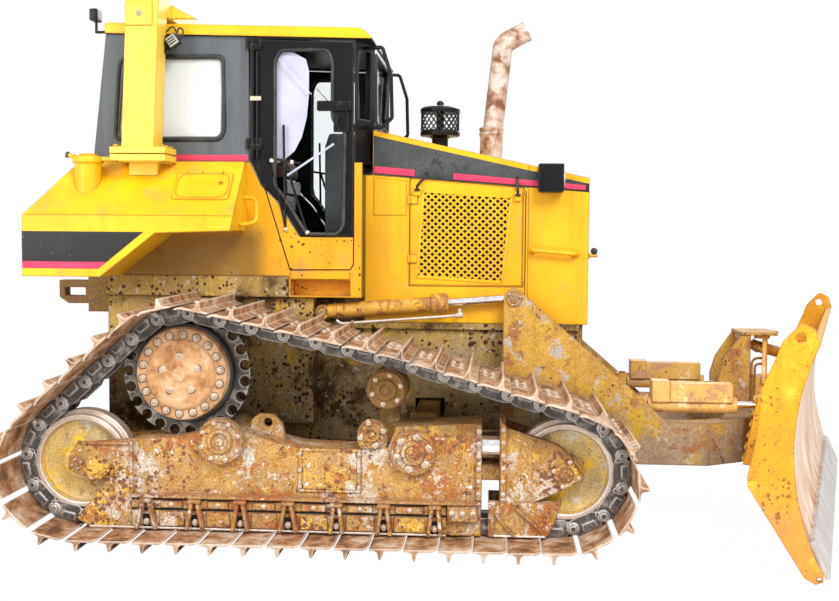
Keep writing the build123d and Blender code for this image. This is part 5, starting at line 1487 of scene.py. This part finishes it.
def padPoint(point, pad):
    # where a point of a plain cube lies on the stuffed pad
    thin = pad["thin"]
    wide = [axis for axis in range(3) if axis != thin]
    low, high = Vector(pad["low"]), Vector(pad["high"])
    power = seatFit["swell"]
    placed = Vector(point) * sum(abs(c) ** power for c in point) ** (-1 / power)
    for axis, other in (wide, wide[::-1]):
        placed[axis] *= 1 - seatFit["pull"] * (1 - point[other] ** 2)
    room = (high - low) / 2 - Vector([seatFit["swellCap"]] * 3)
    return Vector([a * b for a, b in zip(placed, room)]) + (low + high) / 2


def fillPad(cushion):
    # a short cloth simulation stuffs the pad, and no point moves further than the cap
    scene = bpy.context.scene
    plain = [v.co.copy() for v in cushion.data.vertices]
    cloth = cushion.modifiers.new("stuffing", "CLOTH")
    cloth.settings.use_pressure = True
    cloth.settings.uniform_pressure_force = seatFit["pressure"]
    cloth.settings.effector_weights.gravity = 0
    cloth.point_cache.frame_end = seatFit["frames"]
    for frame in range(1, seatFit["frames"] + 1):
        scene.frame_set(frame)
    stuffed = cushion.evaluated_get(bpy.context.evaluated_depsgraph_get())
    filled = [v.co.copy() for v in stuffed.data.vertices]
    cushion.modifiers.remove(cloth)
    scene.frame_set(1)
    furthest = 0
    for vertex, before, after in zip(cushion.data.vertices, plain, filled):
        step = after - before
        furthest = max(furthest, step.length)
        vertex.co = before + step * min(1, seatFit["swellCap"] / max(step.length, 0.0001))
    print("pad filled", cushion.name, round(furthest, 4))


def makeSeat():
    base = min(v.co.z for v in nodes["driver_seat"].data.vertices)
    pan = bmesh.new()
    for (x0, x1), half, (z0, z1), bevel in seatFit["pan"]:
        addBlock(pan, (x0, -half, z0 or base), (x1, half, z1), bevel=bevel)
    for side in sides.values():
        for y, z, bevel in seatFit["arms"]:
            addPanel(pan, side, seatFit["armsAt"], y, z, 0, bevel)
    keepMesh("seat_pan", pan, "machine", ["cabBlack"], ("driver_seat",), even=True)
    for name, pad in seatFit["pads"].items():
        shape = bmesh.new()
        bmesh.ops.create_cube(shape, size=2)
        bmesh.ops.subdivide_edges(shape, edges=shape.edges, cuts=seatFit["cuts"], use_grid_fill=True)
        thin = pad["thin"]
        wide = [axis for axis in range(3) if axis != thin]
        across = wide[0] if thin == 2 else wide[1]
        along = wide[0] + wide[1] - across
        cube = [v.co.copy() for v in shape.verts]
        for corner in shape.verts:
            corner.co = padPoint(corner.co, pad)
        cushion = keepMesh(name, shape, "machine", ["seatCloth"], ("driver_seat",), smooth=180.0)
        fillPad(cushion)
        points = cushion.data.vertices
        for vertex, co in zip(points, cube):
            if co[thin] > 0.99 and any(abs(co[across] - c) < 0.01 for c in pad["channels"]):
                vertex.co[thin] -= seatFit["channelDepth"] * (1 - co[along] ** 8)
        rim = [(co, v.co.copy()) for co, v in zip(cube, points)
               if co[thin] > 0.99 and max(abs(co[a]) for a in wide) > 0.99]
        rim.sort(key=lambda pair: math.atan2(pair[0][wide[1]], pair[0][wide[0]]))
        cushion.modifiers.new("rounded", "SUBSURF").levels = 1
        cushion.modifiers["rounded"].render_levels = 1
        cord = bmesh.new()
        addTube(cord, [place for co, place in rim[::3]], seatFit["piping"], 0, 0.02, 8, True)
        keepMesh(name + "_piping", cord, "machine", ["sealRubber"])
    print("seat made")


# fittings on the fenders and the rollover frame
fenderFit = {
    "handle": [(0.804, 0.720, 1.842), (0.876, 0.720, 1.842), (0.896, 0.800, 1.705), (0.804, 0.800, 1.690)],
    "filler": (-0.058, 0.790),
    "cap": [(0.073, 2.020), (0.084, 2.028), (0.085, 2.052), (0.078, 2.064), (0.050, 2.068), (0.046, 2.078),
            (0.022, 2.080), (0.0010, 2.080)],
    "latch": [(0.018, 0.106), (0.765, 0.815), (2.036, 2.062)],
    "breather": [(-0.130, 2.060, -0.175, 2.072, 0.013, 0), (-0.170, 2.071, -0.182, 2.074, 0.017, 2)],
    "lid": [(0.456, -0.083), (0.744, -0.083), (0.744, 0.103), (0.456, 0.103)],
    "lock": (0.700, 0.030),
    "flange": [(x, y) for x in (0.128, 0.390) for y in (0.722, 0.800, 0.876)],
    "flangeHeights": (2.1112, 2.0336),
    "slope": (0.830, 1.890, 0.6954, 0.7186),
}


def slopePlace(side, x, along, out):
    # a point on the fender's slope: along runs up it, out leaves it
    y, z, across, up = fenderFit["slope"]
    return (x, side * (y - along * across + out * up), z + along * up + out * across)


def makeFenderFittings():
    high, low = fenderFit["flangeHeights"]
    for name, side in sides.items():
        shape = bmesh.new()
        addTube(shape, [(x, side * y, z) for x, y, z in fenderFit["handle"]], 0.012, 0, 0.035, 16)
        x, y = fenderFit["filler"]
        addTurned(shape, fenderFit["cap"], (x, side * y, 0), upright=True)
        addPanel(shape, side, *fenderFit["latch"], bevel=0.006)
        for x0, z0, x1, z1, radius, finish in fenderFit["breather"]:
            addRound(shape, (x0, side * y, z0), (x1, side * y, z1), radius, finish)
        for x, y in fenderFit["flange"]:
            addBolt(shape, (x, side * y, high), (0, 0, 1), 0.014, 0.014)
            addBolt(shape, (x, side * y, low), (0, 0, -1), 0.013, 0.012)
        addSideBolts(shape, [(0.262, 2.836)], side, 0.868, 0.014, 0.012)
        addStrip(shape, (-0.350, 1.737), (0.795, 1.737), 0.004, side, 0.978, 0.9815)
        keepMesh("fender_fittings_" + name, shape, "machine", ["enamelYellow", "boltSteel", "sealRubber"],
                 even=True)
        lid = bmesh.new()
        rim = [slopePlace(side, x, along, 0.0088) for x, along in fenderFit["lid"]]
        addTube(lid, rim, 0.0045, 0, 0.06, 8, True)
        centre, tip = (Vector(slopePlace(side, *fenderFit["lock"], out)) for out in (0.008, 0.0125))
        addRound(lid, centre, tip, 0.017, 0, 24, 0.015)
        addRound(lid, tip - (tip - centre) * 0.2, tip + (tip - centre) * 0.15, 0.007, 1, 12)
        keepMesh("fender_lid_rim_" + name, lid, "fender_lid_" + name, ["enamelYellow", "seamAndShadeBlack"])
    print("fender fittings made")


# fittings on the hood and the radiator guard
hoodFit = {
    "half": 0.475,
    "bar": [(2.422, 1.560), (2.668, 1.541)],
    "reach": 0.046,
    "foot": [(0.026, 0.0005), (0.026, 0.004), (0.017, 0.012), (0.0135, 0.020)],
    "lamp": (2.594, 0.5325, 1.9685),
    "lens": [(-0.002, 0.006, 0.050, 0, 0.047), (0.005, 0.0075, 0.042, 1, None)],
    "panel": [(1.508, 1.752), (1.700, 1.752), (1.700, 1.952), (1.508, 1.972)],
    "hinge": (2.376, 1.370, 1.880),
    "seam": [(2.385, 1.140), (2.385, 1.900)],
    "latch": (-0.400, 1.530),
    "knob": [(0.0008, -0.020), (0.013, -0.015), (0.020, 0), (0.013, 0.015), (0.0008, 0.020)],
}


def makeHoodFittings():
    half = hoodFit["half"]
    shape = bmesh.new()
    for side in sides.values():
        (x0, z0), (x1, z1) = hoodFit["bar"]
        near, out = side * half, side * (half + hoodFit["reach"])
        addTube(shape, [(x0, near, z0), (x0, out, z0), (x1, out, z1), (x1, near, z1)], 0.0135, 0, 0.030, 16)
        for x, z in hoodFit["bar"]:
            foot = [(radius, half + y) for radius, y in hoodFit["foot"]]
            addSideTurned(shape, foot, side, (x, 0, z), 0, 24)
        addPlate(shape, hoodFit["panel"], side, half + 0.0002, half + 0.0030, 0, 0.0012)
        x, low, high = hoodFit["hinge"]
        addRound(shape, (x, side * (half + 0.004), low), (x, side * (half + 0.004), high), 0.0055, 0, 10)
        addStrip(shape, *hoodFit["seam"], 0.005, side, half, half + 0.0008, 1)
    y, z = hoodFit["latch"]
    addRound(shape, (2.744, y, z), (2.800, y, z), 0.010, 0, 12)
    addBolt(shape, (2.745, y, z), (1, 0, 0), 0.020, 0.010)
    addTurned(shape, hoodFit["knob"], (2.783, y, z + 0.026), 2, 20)
    keepMesh("hood_fittings", shape, "machine", ["hoodYellow", "seamAndShadeBlack", "sealRubber"], ("grab_bars",),
             even=True)
    lenses = bmesh.new()
    x, y, z = hoodFit["lamp"]
    for side in sides.values():
        for near, far, radius, finish, tip in hoodFit["lens"]:
            addRound(lenses, (x + near, side * y, z), (x + far, side * y, z), radius, finish, 40, tip)
    keepMesh("headlight_lenses", lenses, "machine", ["rimSteel", "cabGlass", "cabBlack"], even=True)
    print("hood fittings made")


# lamps on the rollover frame's posts: a leaning box with a ribbed lens, its bracket and its cable
postLamp = {
    "middle": (0.412, 0.738, 2.706),
    "half": 0.0345,
    "lean": -34.0,
    "out": 0.022,
    "bracket": [((0.352, 0.392), (2.655, 2.690), 0.004), ((0.352, 0.366), (2.640, 2.740), 0.003)],
    "bracketOut": (0.705, 0.728),
    "cable": [(0.424, 0.716, 2.738), (0.436, 0.705, 2.790), (0.462, 0.700, 2.772), (0.448, 0.700, 2.715),
              (0.400, 0.700, 2.800), (0.352, 0.704, 2.752)],
}


def makePostLamps():
    shape = bmesh.new()
    x, y, z = postLamp["middle"]
    half, out = postLamp["half"], postLamp["out"]
    rim, rib = (-half + 0.006, half - 0.006), (-half + 0.012, half - 0.012)
    for side in sides.values():
        leaning = Matrix.Rotation(math.radians(postLamp["lean"]), 4, "Y")
        turned = Matrix.Translation((x, side * y, z)) @ leaning
        addBlock(shape, (-half, -0.024, -half), (half, 0.021, half), turned, 0, 0.007)
        addPanel(shape, side, rim, (out - 0.003, out + 0.003), rim, 1, 0.002, turned)
        for i in range(3):
            level = (-0.017 + i * 0.014, -0.011 + i * 0.014)
            addPanel(shape, side, rib, (out + 0.0028, out + 0.0042), level, 0, 0.0005, turned)
        for xs, zs, bevel in postLamp["bracket"]:
            addPanel(shape, side, xs, postLamp["bracketOut"], zs, 0, bevel)
        addTube(shape, [(a, side * b, c) for a, b, c in postLamp["cable"]], 0.005, 2, 0.02, 8)
    keepMesh("post_lamps", shape, "machine", ["cabBlack", "lampGlass", "sealRubber"], even=True)
    print("post lamps made")


# bars over the radiator's opening
grilleFit = {"face": 2.7250, "half": 0.372, "low": 1.222, "high": 1.822, "pitch": 0.030, "post": 0.012,
             "slat": [(0, -0.006), (0.010, -0.010), (0.010, -0.004), (0, 0.006)]}


def makeFrontGrille():
    shape = bmesh.new()
    face, half, low, high, pitch, post, slat = grilleFit.values()
    for i in range(int((high - low) / pitch)):
        z = low + (i + 0.5) * pitch
        addPrism(shape, [(face + x, z + up) for x, up in slat], -half, half, bevel=0.001)
    for y in (-half, -half / 3, half / 3, half):
        addBlock(shape, (face, y - post, low), (face + 0.014, y + post, high), bevel=0.002)
    for z in (low, high):
        addBlock(shape, (face, -half - post, z - post), (face + 0.014, half + post, z + post), bevel=0.002)
    for y in (-half, half):
        for i in range(4):
            addBolt(shape, (face + 0.014, y, low + 0.05 + i * 0.165), (1, 0, 0), 0.008, 0.006, 1)
    keepMesh("front_bars", shape, "machine", ["cabBlack", "boltSteel"], even=True)
    print("front grille made")


# the air cleaner's caged cap and the exhaust's collars
stackFit = {
    "cleaner": 1.864,
    "cap": [(0.0010, 2.131), (0.050, 2.131), (0.050, 2.232), (0.078, 2.246), (0.116, 2.247), (0.1225, 2.253),
            (0.1225, 2.272), (0.112, 2.284), (0.024, 2.286), (0.024, 2.386), (0.114, 2.387), (0.1225, 2.394),
            (0.1225, 2.412), (0.108, 2.424), (0.040, 2.434), (0.024, 2.440), (0.022, 2.454), (0.012, 2.464),
            (0.0010, 2.4645)],
    "cage": 0.116,
    "wires": 22,
    "wire": 0.0034,
    "turn": 0.75,
    "low": 2.280,
    "high": 2.390,
    "collar": (2.1785, 2.262, 2.290),
    "ring": [(0.066, -0.018), (0.073, -0.012), (0.074, 0.0), (0.073, 0.012), (0.066, 0.018)],
    "foot": [(0.0665, 2.250), (0.0640, 2.200), (0.0665, 2.140), (0.0735, 2.070), (0.0735, 2.050),
             (0.050, 2.050)],
    "footAt": 2.1755,
}


def makeStacks():
    shape = bmesh.new()
    x = stackFit["cleaner"]
    addTurned(shape, stackFit["cap"], (x, 0, 0), 0, 64, True)
    low, high, cage = stackFit["low"], stackFit["high"], stackFit["cage"]
    for i in range(stackFit["wires"]):
        for lean in sides.values():
            start = math.tau * i / stackFit["wires"]
            path = []
            for up in quarters:
                turn = start + lean * stackFit["turn"] * up
                path.append((x + cage * math.cos(turn), cage * math.sin(turn), low + (high - low) * up))
            addTube(shape, path, stackFit["wire"], 0, 0.01, 5)
    keepMesh("precleaner_cage", shape, "machine", ["cabBlack"], ("precleaner",))
    collar = bmesh.new()
    x, low, high = stackFit["collar"]
    for z in (low, high):
        ring = [(radius, z + y * 0.7) for radius, y in stackFit["ring"]] + [(0.058, z)]
        addTurned(collar, ring, (x, 0, 0), upright=True)
    addTurned(collar, stackFit["foot"], (stackFit["footAt"], 0, 0), upright=True)
    keepMesh("exhaust_collar", collar, "machine", ["stackRust"])
    print("stacks made")


# fittings on the lift cylinders and the arms' pins: collars are (near, far, radius, tip) along the barrel
liftFit = {
    "rear": (1.225, 1.195),
    "eye": (2.323, 1.288),
    "y": 0.530,
    "collars": [(0.628, 0.636, 0.050, 0.056), (0.636, 0.714, 0.056, None), (0.714, 0.727, 0.056, 0.044),
                (0.070, 0.085, 0.046, None)],
    "pipeY": 0.548,
    "pipe": [(1.305, 1.150), (1.330, 1.128), (2.005, 1.184)],
    "pipeEnds": [(1.995, 1.183, 2.034, 1.186, 0.015, 6), (2.016, 1.186, 2.014, 1.222, 0.010, 10)],
    "pins": [(2.323, 1.288, 0.046, 3, 0.036, 0.006, 0.012), (2.350, 0.500, 0.075, 4, 0.056, 0.009, 0.016)],
    "pinFace": 0.6055,
}


def makeCylinderFittings():
    (x0, z0), (x1, z1) = liftFit["rear"], liftFit["eye"]
    along = Vector((x1 - x0, 0, z1 - z0)).normalized()
    for name, side in sides.items():
        shape = bmesh.new()
        rear = Vector((x0, side * liftFit["y"], z0))
        for near, far, radius, tip in liftFit["collars"]:
            addRound(shape, rear + along * near, rear + along * far, radius, 0, 32, tip)
        y = side * liftFit["pipeY"]
        addTube(shape, [(x, y, z) for x, z in liftFit["pipe"]], 0.008, 1, 0.02, 10)
        for startX, startZ, endX, endZ, radius, steps in liftFit["pipeEnds"]:
            addRound(shape, (startX, y, startZ), (endX, y, endZ), radius, 1, steps)
        keepMesh("lift_collar_" + name, shape, "lift_barrel_" + name, ["liftYellow", "rimSteel"])
        pin = bmesh.new()
        for x, z, radius, *rest in liftFit["pins"]:
            addCap(pin, side, x, z, radius, liftFit["pinFace"], *rest)
        keepMesh("arm_pins_" + name, pin, "push_frame", ["armPaint", "boltSteel"])
    print("cylinder fittings made")


# the blade: its worn face and the bolts of its two pads
bladeFit = {"half": 1.494, "faceTop": 1.2, "pad": ((0.035, 0.775), (-0.034, 0.400)), "padMiddle": 0.720,
            "padHalf": 0.044, "bolts": 6}


def makeBladeFittings():
    mesh = bpy.data.objects["blade_soft"].data
    mesh.materials.append(finishes["polishedFace"])
    back = bladeFrame.inverted()
    ahead = (bladeFrame.to_3x3() @ Vector((1, 0, 0))).normalized()
    for face in mesh.polygons:
        place = back @ face.center
        inside = abs(place.y) < bladeFit["half"] and place.z < bladeFit["faceTop"]
        if inside and face.normal.dot(ahead) > 0.45:
            face.material_index = len(mesh.materials) - 1
    shape = bmesh.new()
    (topX, topZ), (lowX, lowZ) = bladeFit["pad"]
    across = bladeFrame.to_3x3() @ Vector((lowZ - topZ, 0, topX - lowX)).normalized()
    for side in sides.values():
        for half in (-bladeFit["padHalf"], bladeFit["padHalf"]):
            for i in range(bladeFit["bolts"]):
                up = (i + 0.5) / bladeFit["bolts"]
                y = side * bladeFit["padMiddle"] + half
                point = Vector((lowX + (topX - lowX) * up, y, lowZ + (topZ - lowZ) * up))
                addBolt(shape, bladeFrame @ point, across, 0.013, 0.014)
    keepMesh("blade_bolts", shape, "blade", ["bladeYellow"])
    print("blade fittings made")


for make in (makeSoftEdges, makeTracks, makeIdlers, makeFinalDrives, makeFrameFittings, makeYokeFittings,
             makeBands, makeEngineDoors, makeSeat, makeCabFittings, makeDoorFittings, makeFenderFittings,
             makeHoodFittings, makePostLamps, makeFrontGrille, makeStacks, makeCylinderFittings,
             makeBladeFittings):
    make()


# floor, world and lamps
lamps = [
    {"name": "key", "place": (5.0, -7.5, 7.5), "aim": (2.0, 0, 1.0), "size": 4.0, "power": 840},
    {"name": "fill", "place": (-4.0, -7.0, 4.0), "aim": (1.5, 0, 1.0), "size": 5.0, "power": 380},
    {"name": "back", "place": (3.0, 7.5, 6.0), "aim": (2.0, 0, 1.0), "size": 5.0, "power": 340},
]


sky = {"seen": 1.0, "unseen": 0.62}
ground = {"size": 40, "scale": 0.4, "tones": (0.86, 0.90), "rough": 0.9, "shine": 0.1, "white": 0.992}


def lightStage():
    world = bpy.data.worlds.new("sky")
    world.use_nodes = True
    tree = world.node_tree
    tree.nodes.clear()
    path = wire(tree, "ShaderNodeLightPath")
    seen = maths(tree, "MAXIMUM", path.outputs["Is Camera Ray"], path.outputs["Is Transmission Ray"])
    seen = maths(tree, "MAXIMUM", seen, path.outputs["Is Glossy Ray"])
    links = {0: seen, 1: 0.0, 2: 1.0, 3: sky["unseen"], 4: sky["seen"]}
    strength = wire(tree, "ShaderNodeMapRange", links).outputs[0]
    glow = wire(tree, "ShaderNodeBackground", {"Color": (1, 1, 1, 1), "Strength": strength})
    end = wire(tree, "ShaderNodeOutputWorld")
    tree.links.new(glow.outputs[0], end.inputs[0])
    bpy.context.scene.world = world
    for lamp in lamps:
        data = bpy.data.lights.new(lamp["name"], "AREA")
        data.energy = lamp["power"]
        data.shape = "DISK"
        data.size = lamp["size"]
        thing = bpy.data.objects.new(lamp["name"], data)
        bpy.context.scene.collection.objects.link(thing)
        thing.location = lamp["place"]
        aim = Vector(lamp["aim"]) - Vector(lamp["place"])
        thing.rotation_euler = aim.to_track_quat("-Z", "Y").to_euler()


def layFloor():
    shape = bmesh.new()
    bmesh.ops.create_grid(shape, x_segments=1, y_segments=1, size=ground["size"])
    mesh = asMesh("floor", shape)
    floor = bpy.data.objects.new("floor", mesh)
    bpy.context.scene.collection.objects.link(floor)
    material, tree, shader, where = startMaterial("paleFloor")
    colour = ramp(tree, noise(tree, where, ground["scale"]), list(enumerate(map(grey, ground["tones"]))))
    tree.links.new(colour, shader.inputs["Base Color"])
    shader.inputs["Roughness"].default_value = ground["rough"]
    shader.inputs["Specular IOR Level"].default_value = ground["shine"]
    path = wire(tree, "ShaderNodeLightPath")
    white = wire(tree, "ShaderNodeEmission", {"Color": (1, 1, 1, 1), "Strength": 1.0})
    share = times(tree, path.outputs["Is Camera Ray"], ground["white"])
    mix = wire(tree, "ShaderNodeMixShader", {0: share, 1: shader.outputs[0], 2: white.outputs[0]})
    tree.links.new(mix.outputs[0], tree.nodes["Material Output"].inputs[0])
    mesh.materials.append(material)


aimCamera()
lightStage()
layFloor()
bpy.context.scene.view_settings.view_transform = "Standard"
print("stage lit")
